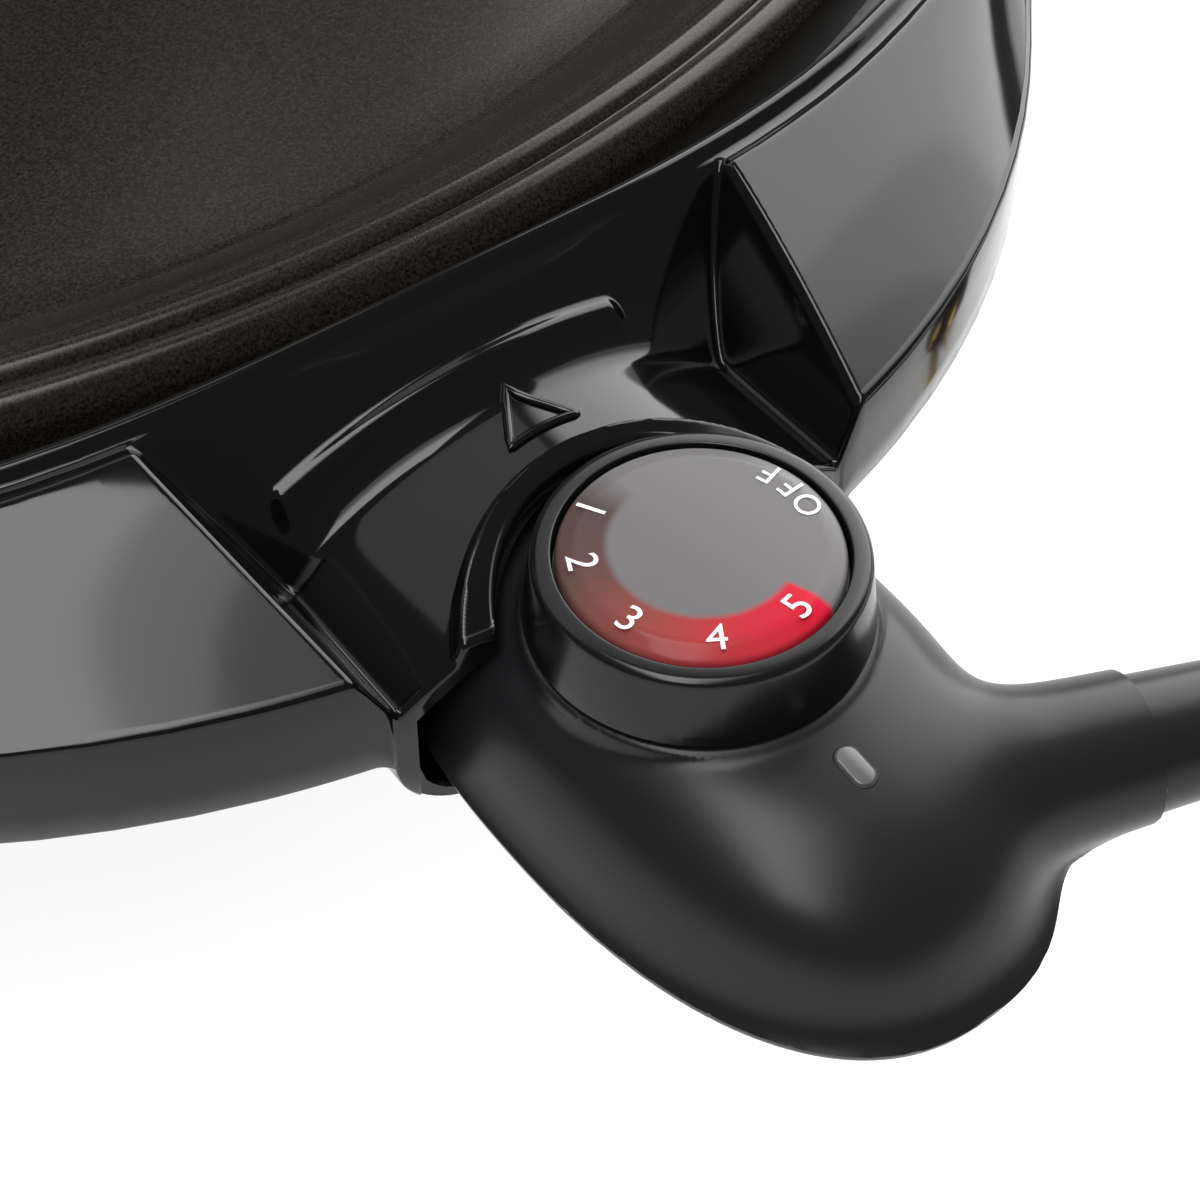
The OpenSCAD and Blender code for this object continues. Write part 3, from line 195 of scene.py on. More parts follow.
# Fingers polish it a little, in patches of about 25 mm.
wear = add(tree, "ShaderNodeTexNoise", {"Vector": place(tree), "Scale": 1 / (25 * MM), "Detail": 3.0})
sheen = add(tree, "ShaderNodeMapRange", {"Value": wear.outputs["Fac"], "To Min": 0.28, "To Max": 0.33})
tree.links.new(sheen.outputs["Result"], shader.inputs["Roughness"])

# %% Knob black ABS
knob_black, tree, shader = surface("semi_gloss_black_abs", Base_Color=colour("#0e0e0f"), Roughness=0.2,
                                   Specular_IOR_Level=0.3)
# Its grain is shallower than the body's, so the knob shines a little more.
grain = add(tree, "ShaderNodeTexNoise", {"Vector": place(tree), "Scale": 1 / (0.3 * MM), "Detail": 1.0})
bump = add(tree, "ShaderNodeBump", {"Height": grain.outputs["Fac"], "Strength": 0.03, "Distance": 0.02 * MM})
tree.links.new(bump.outputs["Normal"], shader.inputs["Normal"])

# %% Bronze-grey nonstick
nonstick, tree, shader = surface("bronze_nonstick_coat", Metallic=0.2, Roughness=0.21,
                                 Specular_IOR_Level=0.25)
# The coat's flakes are about 0.4 mm: real ones are finer, and are drawn this coarse so that they show.
where = place(tree)
flakes = add(tree, "ShaderNodeTexNoise",
             {"Vector": where, "Scale": 1 / (0.4 * MM), "Detail": 2.0, "Roughness": 0.7})
tint = add(tree, "ShaderNodeValToRGB", {"Fac": flakes.outputs["Fac"]})
tint.color_ramp.elements[0].position = 0.32
tint.color_ramp.elements[0].color = colour("#090806")
tint.color_ramp.elements[1].position = 0.70
tint.color_ramp.elements[1].color = colour("#2f2a22")
tree.links.new(tint.outputs["Color"], shader.inputs["Base Color"])
bump = add(tree, "ShaderNodeBump", {"Height": flakes.outputs["Fac"], "Strength": 0.25, "Distance": 0.05 * MM})
tree.links.new(bump.outputs["Normal"], shader.inputs["Normal"])

# %% Speckled and brushed finishes
def speckled(name, low, high, size_mm, bump_mm, **sockets):
    """Two near tones in flecks, with a low bump, as paint, enamel, rubber or ceramic has."""
    made, tree, shader = surface(name, **sockets)
    fleck = add(tree, "ShaderNodeTexNoise",
                {"Vector": place(tree), "Scale": 1 / (size_mm * MM), "Detail": 3.0})
    ramp = add(tree, "ShaderNodeValToRGB", {"Fac": fleck.outputs["Fac"]})
    ramp.color_ramp.elements[0].position = 0.35
    ramp.color_ramp.elements[0].color = colour(low)
    ramp.color_ramp.elements[1].position = 0.68
    ramp.color_ramp.elements[1].color = colour(high)
    tree.links.new(ramp.outputs["Color"], shader.inputs["Base Color"])
    lumps = add(tree, "ShaderNodeBump",
                {"Height": fleck.outputs["Fac"], "Strength": 0.3, "Distance": bump_mm * MM})
    tree.links.new(lumps.outputs["Normal"], shader.inputs["Normal"])
    return made


def brushed(name, low, high, line_mm, along, **sockets):
    """Fine lines along one axis, as a belt or a lathe leaves them."""
    made, tree, shader = surface(name, Metallic=1.0, **sockets)
    # A line is forty times as long as it is wide.
    stretch = [1 / (line_mm * MM)] * 3
    stretch[along] = 1 / (40 * line_mm * MM)
    lines_at = add(tree, "ShaderNodeMapping", {"Vector": place(tree), "Scale": stretch})
    lines = add(tree, "ShaderNodeTexNoise",
                {"Vector": lines_at.outputs["Vector"], "Scale": 1.0, "Detail": 2.0})
    ramp = add(tree, "ShaderNodeValToRGB", {"Fac": lines.outputs["Fac"]})
    ramp.color_ramp.elements[0].color = colour(low)
    ramp.color_ramp.elements[1].color = colour(high)
    tree.links.new(ramp.outputs["Color"], shader.inputs["Base Color"])
    lumps = add(tree, "ShaderNodeBump",
                {"Height": lines.outputs["Fac"], "Strength": 0.15, "Distance": 0.02 * MM})
    tree.links.new(lumps.outputs["Normal"], shader.inputs["Normal"])
    return made


# %% Metals, rubber, ceramic
pan_paint = speckled("baked_grey_paint_on_steel", "#38393a", "#4a4b4d", 1.2, 0.03, Roughness=0.45)
bracket_paint = speckled("baked_grey_paint_on_bracket", "#2f3031", "#3d3e40", 1.0, 0.03, Roughness=0.4)
lid_enamel = speckled("black_enamel_on_aluminium", "#0c0c0d", "#141415", 2.5, 0.02, Roughness=0.16)
bright_steel = brushed("bright_brushed_steel", "#9a9da0", "#c6c8ca", 0.35, 0, Roughness=0.3)
sheath_steel = speckled("oxidised_steel_sheath", "#3a3632", "#57504a", 0.8, 0.03, Metallic=0.9, Roughness=0.5)
reflector_sheet = brushed("plain_aluminium_sheet", "#b0b2b4", "#d4d6d8", 0.5, 1, Roughness=0.35)
steatite = speckled("white_steatite_ceramic", "#d6cfbf", "#ece6d8", 0.6, 0.03, Roughness=0.6)
pad_rubber = speckled("black_foot_rubber", "#151515", "#232323", 0.5, 0.05, Roughness=0.8)
lead_rubber = speckled("black_lead_jacket", "#121213", "#1d1d1e", 0.4, 0.03, Roughness=0.42)
tie_plastic = speckled("black_tie_nylon", "#1c1c1c", "#2b2b2b", 0.6, 0.02, Roughness=0.5)
brass = brushed("plain_brass", "#b08d3c", "#d9b660", 0.3, 0, Roughness=0.28)
print("materials:", len(bpy.data.materials))
cord.data.materials.append(lead_rubber)

# %% [markdown]
# ## Modelling helpers
# Round pieces are turned: a line of points is extruded in edit mode and spun about the piece's axis.
# A finished piece sits at the origin with its place in its mesh.

# %% Start and end of a piece
def begin():
    """Leaves edit mode and selects nothing, so that the next operator acts on its own piece only."""
    if bpy.context.object and bpy.context.object.mode != "OBJECT":
        bpy.ops.object.mode_set(mode="OBJECT")
    bpy.ops.object.select_all(action="DESELECT")


def settle(name, body, material, *cad_nodes):
    """Names the active piece, puts its place in its mesh and lets it ride."""
    piece = bpy.context.object
    bpy.ops.object.transform_apply(location=True, rotation=True, scale=True)
    piece.name = piece.data.name = name
    piece.data.materials.clear()
    piece.data.materials.append(material)
    print(name, "faces:", len(piece.data.polygons))
    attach(piece, body)
    if cad_nodes:
        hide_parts(*cad_nodes)
    return piece


# %% Turning helpers
# Points closer than this, in metres, are one point.
WELD = 2e-6


def turned(profile, centre=(0.0, 0.0), steps=192, angle=32):
    """profile: (radius, height) points in mm, spun about the upright axis through centre."""
    begin()
    (r0, z0), rest = profile[0], profile[1:]
    axis_x, axis_y = centre[0] * MM, centre[1] * MM
    bpy.ops.mesh.primitive_plane_add(size=MM, location=(axis_x + r0 * MM, axis_y, z0 * MM))
    bpy.ops.object.transform_apply(location=True)
    bpy.ops.object.mode_set(mode="EDIT")
    bpy.ops.mesh.select_mode(type="VERT")
    bpy.ops.mesh.select_all(action="SELECT")
    bpy.ops.mesh.merge(type="CENTER")
    for (ra, za), (rb, zb) in zip(profile, rest):
        bpy.ops.mesh.extrude_vertices_move(
            TRANSFORM_OT_translate={"value": ((rb - ra) * MM, 0, (zb - za) * MM)})
    bpy.ops.mesh.select_all(action="SELECT")
    bpy.ops.mesh.spin(steps=steps, angle=2 * math.pi, center=(axis_x, axis_y, 0), axis=(0, 0, 1))
    bpy.ops.mesh.select_all(action="SELECT")
    bpy.ops.mesh.remove_doubles(threshold=WELD)
    bpy.ops.mesh.normals_make_consistent(inside=False)
    bpy.ops.object.mode_set(mode="OBJECT")
    bpy.ops.object.shade_smooth_by_angle(angle=math.radians(angle))
    return bpy.context.object


def rounded(corners, radii, steps=5):
    """Rounds the corners of a line of (r, z) points: radii holds one radius for each point, 0 at the ends."""
    out = []
    for i, (p, rad) in enumerate(zip(corners, radii)):
        if rad == 0 or i in (0, len(corners) - 1):
            out.append(tuple(p))
            continue
        p, a, b = (np.array(q, float) for q in (p, corners[i - 1], corners[i + 1]))
        ua, ub = (a - p) / np.linalg.norm(a - p), (b - p) / np.linalg.norm(b - p)
        half = math.acos(max(-1, min(1, float(ua @ ub)))) / 2
        cut = min(rad / math.tan(half), 0.49 * np.linalg.norm(a - p), 0.49 * np.linalg.norm(b - p))
        for k in range(steps + 1):
            t = k / steps
            out.append(tuple((1 - t) ** 2 * (p + ua * cut) + 2 * t * (1 - t) * p + t * t * (p + ub * cut)))
    return out


# %% [markdown]
# ## The rim housing
# The rim is one moulding: a raised lip round the plate, a top that slopes out to a level edge, a skirt, and
# four wings. The front wing holds the control's bay, with leaning side walls, a vaulted floor, a thin rib, an
# arrow and a collar. Its whole upper side is a height over the plan, so it is worked out as one: a grid
# has the right number of rows and points, each row is moved to its own cut through the moulding, and its
# ends are merged to close it.
# Corners get their small mould radii from a smooth minimum and maximum of the neighbouring heights.

# %% Sizes of the rim
LIP_R, LIP_Z, RING_R, EDGE_Z, SKIRT_Z = 223.3, 113.7, 231.0, 100.7, 86.2
# At the front the lip comes in by a small tongue, which fades out at this many degrees to each side.
TONGUE, TONGUE_DEG = 4.2, 18
WING_R, FRONT, SIDE, SEAT_Z = 137.7, 260.3, 280.3, 99.5
WING_Y = FRONT - WING_R
# The wings run into the ring softly; a larger number makes a sharper corner.
WING_BLEND = 0.35
DIAL_Y, WELL_R, COLLAR_R, COLLAR_Z, COLLAR_FALL = -268.8, 21.7, 24.3, 107.0, 3.6
VAULT_R, VAULT_Z, VAULT_HALF, ARCH_R = 46.0, 59.4, 45, 43.5
HOOD_IN, HOOD_OUT, HOOD_Z, HOOD_CORNER, WEB = 29.5, 32.0, 75.0, 9.5, 2.5
BACK_Y, SWEEP_Y, SWEEP_FOOT = -221.2, -234.6, 0.08
BAY_HALF, BAY_WALL_X, BAY_WALL_Z, BAY_WALL_RISE = 60, 32, 95, 2
RIB_X, RIB_Y, RIB_HALF, RIB_SIDE, RIB_RISE = -5.1, -230.2, 22.7, 2.0, 1.0
COLLAR_FILLET, WALL_FILLET, BRINK_FILLET = 1.6, 2.0, 1.5
# The slope is a little round, so it falls more steeply toward the edge.
CROWN = 0.27
print("rim over its side wings:", 2 * SIDE)


# %% Outlines of the rim
def off_axis(a, to):
    """Degrees between two directions."""
    return np.abs((a - to + 180) % 360 - 180)


def wing(reach, phi):
    """How far a round wing reaches out, phi degrees beside its own direction."""
    c = reach - WING_R
    s = c * np.sin(np.radians(phi))
    far = c * np.cos(np.radians(phi)) + np.sqrt(np.maximum(WING_R ** 2 - s ** 2, 0))
    return np.where((phi < 80) & (np.abs(s) < WING_R), far, 0)


def rim_out(a):
    """Radius of the outer edge at the angle a, in degrees."""
    total = 1.0 + sum(np.exp(WING_BLEND * (wing(reach, off_axis(a, to)) - RING_R))
                      for reach, to in ((FRONT, 270), (FRONT, 90), (SIDE, 0), (SIDE, 180)))
    return RING_R + np.log(total) / WING_BLEND


def rim_in(a):
    """Radius of the lip's inner edge at the angle a, in degrees."""
    phi = off_axis(a, 270)
    fade = np.cos(np.radians(np.minimum(90 * phi / TONGUE_DEG, 90)))
    return LIP_R - np.where(phi < TONGUE_DEG, TONGUE * fade ** 2, 0)


def smooth_max(a, b, k):
    """The larger of two heights, with a fillet where they are closer than k."""
    h = np.maximum(k - np.abs(a - b), 0) / k
    return np.maximum(a, b) + h * h * k / 4


def smooth_min(a, b, k):
    return -smooth_max(-a, -b, k)


# %% Height of the rim's upper side
# The lip's cut, as distances from its inner edge and heights over its top, is smoothed to mould radii.
LIP_END, LIP_DROP, LIP_FOOT, SLOPE_END = 5.2, 0.95, 0.5, 60
FINE_STEP, LIP_SOFT, SOFT_STEPS = 0.02, 0.28, 60
lip_line = np.array([(0, -0.6), (0.5, 0), (1.5, 0), (2.9, -1.35), (4.3, -1.35), (LIP_END, -LIP_DROP),
                     (SLOPE_END, -LIP_DROP)])
fine = np.arange(-2, SLOPE_END, FINE_STEP)
lip_heights = np.interp(fine, lip_line[:, 0], lip_line[:, 1])
kernel = np.exp(-0.5 * (np.arange(-SOFT_STEPS, SOFT_STEPS + 1) * FINE_STEP / LIP_SOFT) ** 2)
padded = np.pad(lip_heights, SOFT_STEPS, mode="edge")
lip_heights = np.convolve(padded, kernel / kernel.sum(), mode="valid")


def plain_rim(x, y):
    """The lip and the slope to the edge, without the bay."""
    a = np.degrees(np.arctan2(y, x)) % 360
    d = np.hypot(x, y) - rim_in(a)
    wide = rim_out(a) - rim_in(a)
    fall = LIP_Z - LIP_DROP - EDGE_Z
    t = d - LIP_END
    share = 0.5 * (t + np.sqrt(t * t + LIP_FOOT ** 2)) / (wide - LIP_END)
    return LIP_Z + np.interp(d, fine, lip_heights) - fall * (share + CROWN * (share * share - share))


def rim_height(x, y):
    """The whole upper side, with the bay cut into it at the front."""
    top = plain_rim(x, y)
    near = (np.abs(x) < BAY_HALF) & (y < 0)
    vault = VAULT_Z + np.sqrt(np.maximum(VAULT_R ** 2 - np.minimum(np.abs(x), VAULT_HALF) ** 2, 1))
    # Behind the dial the vault turns up to the lip in one slope with a soft foot.
    sweep = (y - SWEEP_Y) / (BACK_Y - SWEEP_Y)
    floor = vault + (LIP_Z - vault) * 0.5 * (sweep + np.sqrt(sweep * sweep + SWEEP_FOOT ** 2))
    around = np.hypot(x, y - DIAL_Y)
    ring = COLLAR_Z - COLLAR_FALL * np.maximum(around - COLLAR_R, 0)
    floor = smooth_max(floor, ring, COLLAR_FILLET)
    walls = BAY_WALL_Z + BAY_WALL_RISE * (np.abs(x) - BAY_WALL_X)
    bay = smooth_max(floor, walls, WALL_FILLET)
    rib_gap = np.hypot(np.maximum(np.abs(x - RIB_X) - RIB_HALF, 0), y - RIB_Y)
    bay = bay + RIB_RISE * (0.5 + 0.5 * np.cos(math.pi * np.minimum(rib_gap / RIB_SIDE, 1)))
    return np.where(near, smooth_min(top, bay, BRINK_FILLET), top)


print("height at the lip, the rib and the edge:",
      [round(float(rim_height(np.array(0.0), np.array(y))), 2) for y in (-221.0, RIB_Y, -259.0)])


# %% Ends of the rim's rings
# Across the bay the rings run straight to the front, close together. From there they turn step by step
# until, at the angle where both ends meet on one spoke, they are plain spokes of the ring.
ROW_END, ROW_STEP, MEET, TURNS, SPOKES = 46, 0.3, 32.0, 12, 180
FRONT_LIP_R, FAR_FRONT_Y = 221, -400


def lobe_front(x):
    """The front edge of the wing."""
    return -WING_Y - np.sqrt(WING_R ** 2 - x * x)


def add_end(ends, outline, a):
    """Adds the point of an outline at the angle a, in degrees."""
    r = float(outline(np.array(a % 360)))
    ends.append((r * math.cos(math.radians(a)), r * math.sin(math.radians(a))))


# A ring that meets the knob's well ends there, and any other at the wing's front.
bay_x = np.arange(-ROW_END, ROW_END + 0.01, ROW_STEP)
inner_ends, outer_ends = [], []
for x in bay_x:
    well = DIAL_Y + math.sqrt(WELL_R ** 2 - x * x) if abs(x) < WELL_R else FAR_FRONT_Y
    r_in = float(rim_in(np.array(270 + math.degrees(math.asin(x / FRONT_LIP_R)))))
    inner_ends.append((x, -math.sqrt(r_in ** 2 - x * x)))
    outer_ends.append((x, max(float(lobe_front(x)), well)))
turn_in = math.degrees(math.atan2(inner_ends[-1][0], -inner_ends[-1][1]))
turn_out = math.degrees(math.atan2(outer_ends[-1][0], -outer_ends[-1][1]))
for k in range(1, TURNS + 1):
    add_end(inner_ends, rim_in, 270 + turn_in + (MEET - turn_in) * k / TURNS)
    add_end(outer_ends, rim_out, 270 + turn_out + (MEET - turn_out) * k / TURNS)
for a in np.linspace(270 + MEET, 630 - MEET, SPOKES)[1:]:
    add_end(inner_ends, rim_in, a)
    add_end(outer_ends, rim_out, a)
for k in range(1, TURNS):
    add_end(inner_ends, rim_in, 270 - MEET + (MEET - turn_in) * k / TURNS)
    add_end(outer_ends, rim_out, 270 - MEET + (MEET - turn_out) * k / TURNS)
A, B = np.array(inner_ends), np.array(outer_ends)
print("rings:", len(A))

# %% Heights under the front
# Each ring has one height for its skirt's lower edge and one for its foot, which follow the tunnel's mouth.
EDGE, WALL, SKIN, FAR_OFF = 1.0, 2.5, 2.6, 99.0
run = B - A
length = np.linalg.norm(run, axis=1)
way = run / length[:, None]
# bx is a ring's distance from the middle line at the front; a ring that isn't in the bay is far off.
in_bay = (np.abs(B[:, 0]) < BAY_HALF) & (B[:, 1] < -200)
bx = np.where(in_bay, np.abs(B[:, 0]), FAR_OFF)
arch = VAULT_Z + np.sqrt(np.maximum(ARCH_R ** 2 - np.minimum(bx, ARCH_R - 1) ** 2, 1))
in_tunnel = bx < HOOD_IN
in_hood = (bx >= HOOD_IN) & (bx < HOOD_OUT)
round_in = np.clip(bx - HOOD_OUT + HOOD_CORNER, 0, HOOD_CORNER)
cradle = HOOD_Z + HOOD_CORNER - np.sqrt(HOOD_CORNER ** 2 - round_in ** 2)
web = np.clip((bx - HOOD_OUT) / WEB, 0, 1)
skirt = np.where(bx < HOOD_OUT, cradle, SKIRT_Z - (SKIRT_Z - HOOD_Z - HOOD_CORNER) * (1 - web) ** 2)
skirt = np.where(in_tunnel, arch, skirt)
foot = np.where(in_tunnel, np.maximum(SEAT_Z, arch), SEAT_Z)
print("rings in the bay:", int(in_bay.sum()), "over the tunnel:", int(in_tunnel.sum()))

# %% Points of each ring
# A ring goes up inside the lip, out over the top, round the edge, down the skirt and back underneath.
LOW_BREAK, INNER_BREAK, DRAFT, INNER_DROP = 0.3, 0.2, 0.4, 1.6
# The points are closest over the lip and the bay's back, in this first share of a ring.
CLOSE_SHARE = 0.27
rings = []


def put(along, height):
    """One point of every ring: a distance from the lip along the ring's line, and a height."""
    p = A + way * np.broadcast_to(along, length.shape)[:, None]
    rings.append(np.column_stack([p, np.broadcast_to(height, length.shape)]))


put(0, foot)
put(0, LIP_Z - INNER_DROP)
reach = length - EDGE
shares = np.concatenate([np.linspace(0, CLOSE_SHARE, 52)[:-1], np.linspace(CLOSE_SHARE, 1, 90)])
for t in shares:
    p = A + way * (reach * t)[:, None]
    rings.append(np.column_stack([p, rim_height(p[:, 0], p[:, 1])]))
brink = rings[-1][:, 2]
for turn in (25, 50, 70, 90):
    put(reach + EDGE * math.sin(math.radians(turn)), brink - EDGE * (1 - math.cos(math.radians(turn))))
for t in (0.35, 0.7, 0.96):
    z = brink - EDGE + (skirt - brink + EDGE) * t
    put(length + DRAFT * t * (bx > HOOD_OUT), z)
put(length - LOW_BREAK + DRAFT * (bx > HOOD_OUT), skirt)
put(length - WALL + INNER_BREAK, skirt)
for t in np.linspace(1, 0, 14):
    along = WALL + (length - 2 * WALL) * t
    p = A + way * along[:, None]
    shifted = p[:, 0] - np.where(in_bay & ~in_tunnel, SKIN * np.sign(p[:, 0]), 0)
    under = np.minimum(rim_height(p[:, 0], p[:, 1]), rim_height(shifted, p[:, 1])) - SKIN
    under = np.where(in_tunnel, arch, np.where(in_hood, cradle, under))
    rings.append(np.column_stack([p, under]))
put(WALL, foot)
loops = np.stack(rings, axis=1)
print("points in a ring:", loops.shape[1], "triangles:", 2 * loops.shape[0] * loops.shape[1])

# %% The rim's mesh
closed = np.concatenate([loops, loops[:1]])
closed = np.concatenate([closed, closed[:, :1]], axis=1)
begin()
bpy.ops.mesh.primitive_grid_add(x_subdivisions=loops.shape[1], y_subdivisions=loops.shape[0], size=1)
rim = bpy.context.object
print("grid points:", len(rim.data.vertices), "needed:", closed.shape[0] * closed.shape[1])
rim.data.vertices.foreach_set("co", (closed * MM).astype(np.float32).ravel())
rim.data.update()
bpy.ops.object.mode_set(mode="EDIT")
bpy.ops.mesh.select_all(action="SELECT")
bpy.ops.mesh.remove_doubles(threshold=WELD)
bpy.ops.mesh.normals_make_consistent(inside=False)
bpy.ops.object.mode_set(mode="OBJECT")
bpy.ops.object.shade_smooth_by_angle(angle=math.radians(50))
rim = settle("rim_moulding", "base", gloss_black, "rim_housing")

# %% [markdown]
# ## The hood's floor
# Below the vault the control slides into a short tunnel. Its floor is a shallow trough with round lower
# corners that runs back from the wing's front. A grid is wrapped round its cut at many places across, and
# its two narrow ends are filled.

# %% Hood floor
HOOD_BACK_Y = -213.5
trough_x = np.linspace(-HOOD_IN, HOOD_IN, 81)
beside = np.clip(np.abs(trough_x) - HOOD_OUT + HOOD_CORNER, 0, None)
low = HOOD_Z + HOOD_CORNER - np.sqrt(HOOD_CORNER ** 2 - beside ** 2)
inner_r = HOOD_CORNER - WALL
high = HOOD_Z + HOOD_CORNER - np.sqrt(np.maximum(inner_r ** 2 - beside ** 2, 0))
front = lobe_front(trough_x)
back = np.full_like(front, HOOD_BACK_Y)
# The front edge is broken by 0.5 mm above and 0.7 mm below.
corners = [(front + 0.5, high), (back, high), (back, low), (front + 0.7, low), (front, low + 0.7),
           (front, high - 0.5)]
trough = np.stack([np.column_stack([trough_x, y, z]) for y, z in corners + corners[:1]], axis=1)
begin()
bpy.ops.mesh.primitive_grid_add(x_subdivisions=len(corners), y_subdivisions=len(trough_x) - 1, size=1)
bpy.context.object.data.vertices.foreach_set("co", (trough * MM).astype(np.float32).ravel())
bpy.ops.object.mode_set(mode="EDIT")
bpy.ops.mesh.select_all(action="SELECT")
bpy.ops.mesh.remove_doubles(threshold=WELD)
bpy.ops.mesh.fill_holes(sides=len(corners) + 2)
bpy.ops.mesh.normals_make_consistent(inside=False)
bpy.ops.object.mode_set(mode="OBJECT")
bpy.ops.object.shade_smooth_by_angle(angle=math.radians(40))
settle("tunnel_floor", "base", gloss_black)

# %% [markdown]
# ## The arrow
# A raised arrow on the vault shows where the dial is read. Its lines are half-round beads, so a closed curve
# with a round bevel lies on the vault and is turned to a mesh. Its base follows the collar's circle.

# %% Arrow
apex_y, arrow_half, arrow_base_r, bead = -233.3, 4.5, 28.4, 0.6
half_turn, raised, parts = math.asin(arrow_half / arrow_base_r), 0.05, 6
arrow_plan = [(0, apex_y)]
for a in np.linspace(half_turn, -half_turn, 9):
    arrow_plan.append((arrow_base_r * math.sin(a), DIAL_Y + arrow_base_r * math.cos(a)))
# Each side is cut into short parts, so that it follows the vault.
dense = []
for (xa, ya), (xb, yb) in zip(arrow_plan, arrow_plan[1:] + arrow_plan[:1]):
    dense += [(xa + (xb - xa) * k / parts, ya + (yb - ya) * k / parts) for k in range(parts)]
arrow_curve = bpy.data.curves.new("arrow", "CURVE")
arrow_curve.dimensions = "3D"
arrow_curve.bevel_depth, arrow_curve.bevel_resolution = bead * MM, 5
line = arrow_curve.splines.new("POLY")
line.points.add(len(dense) - 1)
line.use_cyclic_u = True
on_vault = [float(rim_height(np.array(x), np.array(y)) + raised) for x, y in dense]
line_points = [(x * MM, y * MM, z * MM, 1) for (x, y), z in zip(dense, on_vault)]
line.points.foreach_set("co", np.array(line_points).ravel())
arrow = bpy.data.objects.new("arrow", arrow_curve)
bpy.context.scene.collection.objects.link(arrow)
begin()
arrow.select_set(True)
bpy.context.view_layer.objects.active = arrow
bpy.ops.object.convert(target="MESH")
bpy.ops.object.shade_smooth_by_angle(angle=math.radians(60))
settle("vault_arrow", "base", gloss_black)

# %% [markdown]
# ## The cooking plate
# The plate is cast and turned, so it is spun from its cut: a flat floor, a slope up to two edge beads with a
# groove between them, and a turned-down edge. Three drain holes are cut through it. Ridges stand in its
# middle: each is a bar with bevelled edges, as long as the round field that they fill allows.

# %% Plate
bead_in, bead_out, bead_r, bead_z = 204.95, 210.25, 2.65, 108.6
floor_z, floor_r, slope_run, slope_rise = 101, 186, 17, 8.7
slope = []
for t in np.linspace(0, 1, 17):
    slope.append((floor_r + slope_run * t, floor_z + slope_rise * (1 - math.cos(math.pi * t)) / 2))
beads = []
for centre_r in (bead_in, bead_out):
    for turn in np.radians(np.linspace(155, 25, 15)):
        beads.append((centre_r + bead_r * math.cos(turn), bead_z + bead_r * math.sin(turn)))
plate_floor = [(0, floor_z), (90, floor_z), (180, floor_z)]
turned_down = [(213.7, 108.6), (214, 107.6), (214, 99.5), (210.5, 99.5)]
underside = [(210.5, 104.5), (203, 104.2), (187, 96), (0, 96)]
plate_line = plate_floor + slope[:-1] + beads + turned_down + underside
plate = turned(plate_line, steps=288, angle=60)
print("points of the plate's cut:", len(plate_line))

# %% Drain holes
drain_r, drain_y, drill_z, drill_len = 3, 100, 100, 20
for x in (-7, 7, 21):
    begin()
    bpy.ops.mesh.primitive_cylinder_add(vertices=48, radius=drain_r * MM, depth=drill_len * MM,
                                        location=(x * MM, drain_y * MM, drill_z * MM))
    drill = bpy.context.object
    hole = plate.modifiers.new("drain", "BOOLEAN")
    hole.operation, hole.object, hole.solver = "DIFFERENCE", drill, "EXACT"
    begin()
    plate.select_set(True)
    bpy.context.view_layer.objects.active = plate
    bpy.ops.object.modifier_apply(modifier="drain")
    bpy.data.objects.remove(drill)
plate = settle("cooking_plate", "base", nonstick, "grill_plate")

# %% Plate ridges
ridge_gap, field_r, ridge_z, ridge_wide, ridge_tall = 20, 104, 102.5, 5, 4
ridge_parts = []
for i in range(-5, 6):
    x = ridge_gap * i
    half = math.sqrt(field_r ** 2 - x * x)
    begin()
    bpy.ops.mesh.primitive_cube_add(size=1, location=(x * MM, 0, ridge_z * MM))
    bpy.context.object.scale = (ridge_wide * MM, 2 * half * MM, ridge_tall * MM)
    bpy.ops.object.transform_apply(location=True, scale=True)
    soften = bpy.context.object.modifiers.new("soften", "BEVEL")
    soften.width, soften.segments = 1.4 * MM, 4
    bpy.ops.object.modifier_apply(modifier="soften")
    ridge_parts.append(bpy.context.object)
begin()
for part in ridge_parts:
    part.select_set(True)
bpy.context.view_layer.objects.active = ridge_parts[0]
bpy.ops.object.join()
bpy.ops.object.shade_smooth_by_angle(angle=math.radians(50))
settle("plate_ridges", "base", nonstick)

# %% [markdown]
# ## The lid
# The lid is a spun dome of sheet with a straight skirt. It is spun shut, from its cut over the plate, and
# then swung open about the hinge pin, so that its place in the mesh is the open one.

# %% Lid
LID_R, LID_RISE, LID_SHEET, SKIRT_TOP, SKIRT_LOW = 228.0, 100.0, 1.5, 134.2, 118.2
dome_r = (LID_R ** 2 + LID_RISE ** 2) / (2 * LID_RISE)
dome_z = SKIRT_TOP + LID_RISE - dome_r
lid_line = []
for ball_r, edge_r in ((dome_r, LID_R), (dome_r - LID_SHEET, LID_R - 1.1 * LID_SHEET)):
    turns = np.linspace(0, math.asin(edge_r / ball_r), 33)
    arc = [(ball_r * math.sin(a), dome_z + ball_r * math.cos(a)) for a in turns]
    lid_line.append(arc + [(edge_r, SKIRT_LOW)])
lid = turned(lid_line[0] + lid_line[1][::-1], steps=192, angle=30)
lid_hinge = frame["record"]["behaviour"]["joints"][0]
hinge = Vector(lid_hinge["pos_m"])
swing = Matrix.Rotation(math.radians(-lid_hinge["range_deg"][1]), 4, "X")
lid.data.transform(Matrix.Translation(hinge) @ swing @ Matrix.Translation(-hinge))
lid = settle("lid_shell", "lid", lid_enamel, "lid_dome")

# %% [markdown]
# ## The control's body
# The control is an egg-shaped shell. A low round deck for the knob and a short neck for the cord grow out of
# it in soft hollow curves. A sphere is moved to the egg, cylinders are the deck and the neck, and a voxel
# remesh joins them. Every point is then slid onto the blended form, a smooth union of the three, because a
# remesh alone leaves small steps and a hard corner where the three meet.

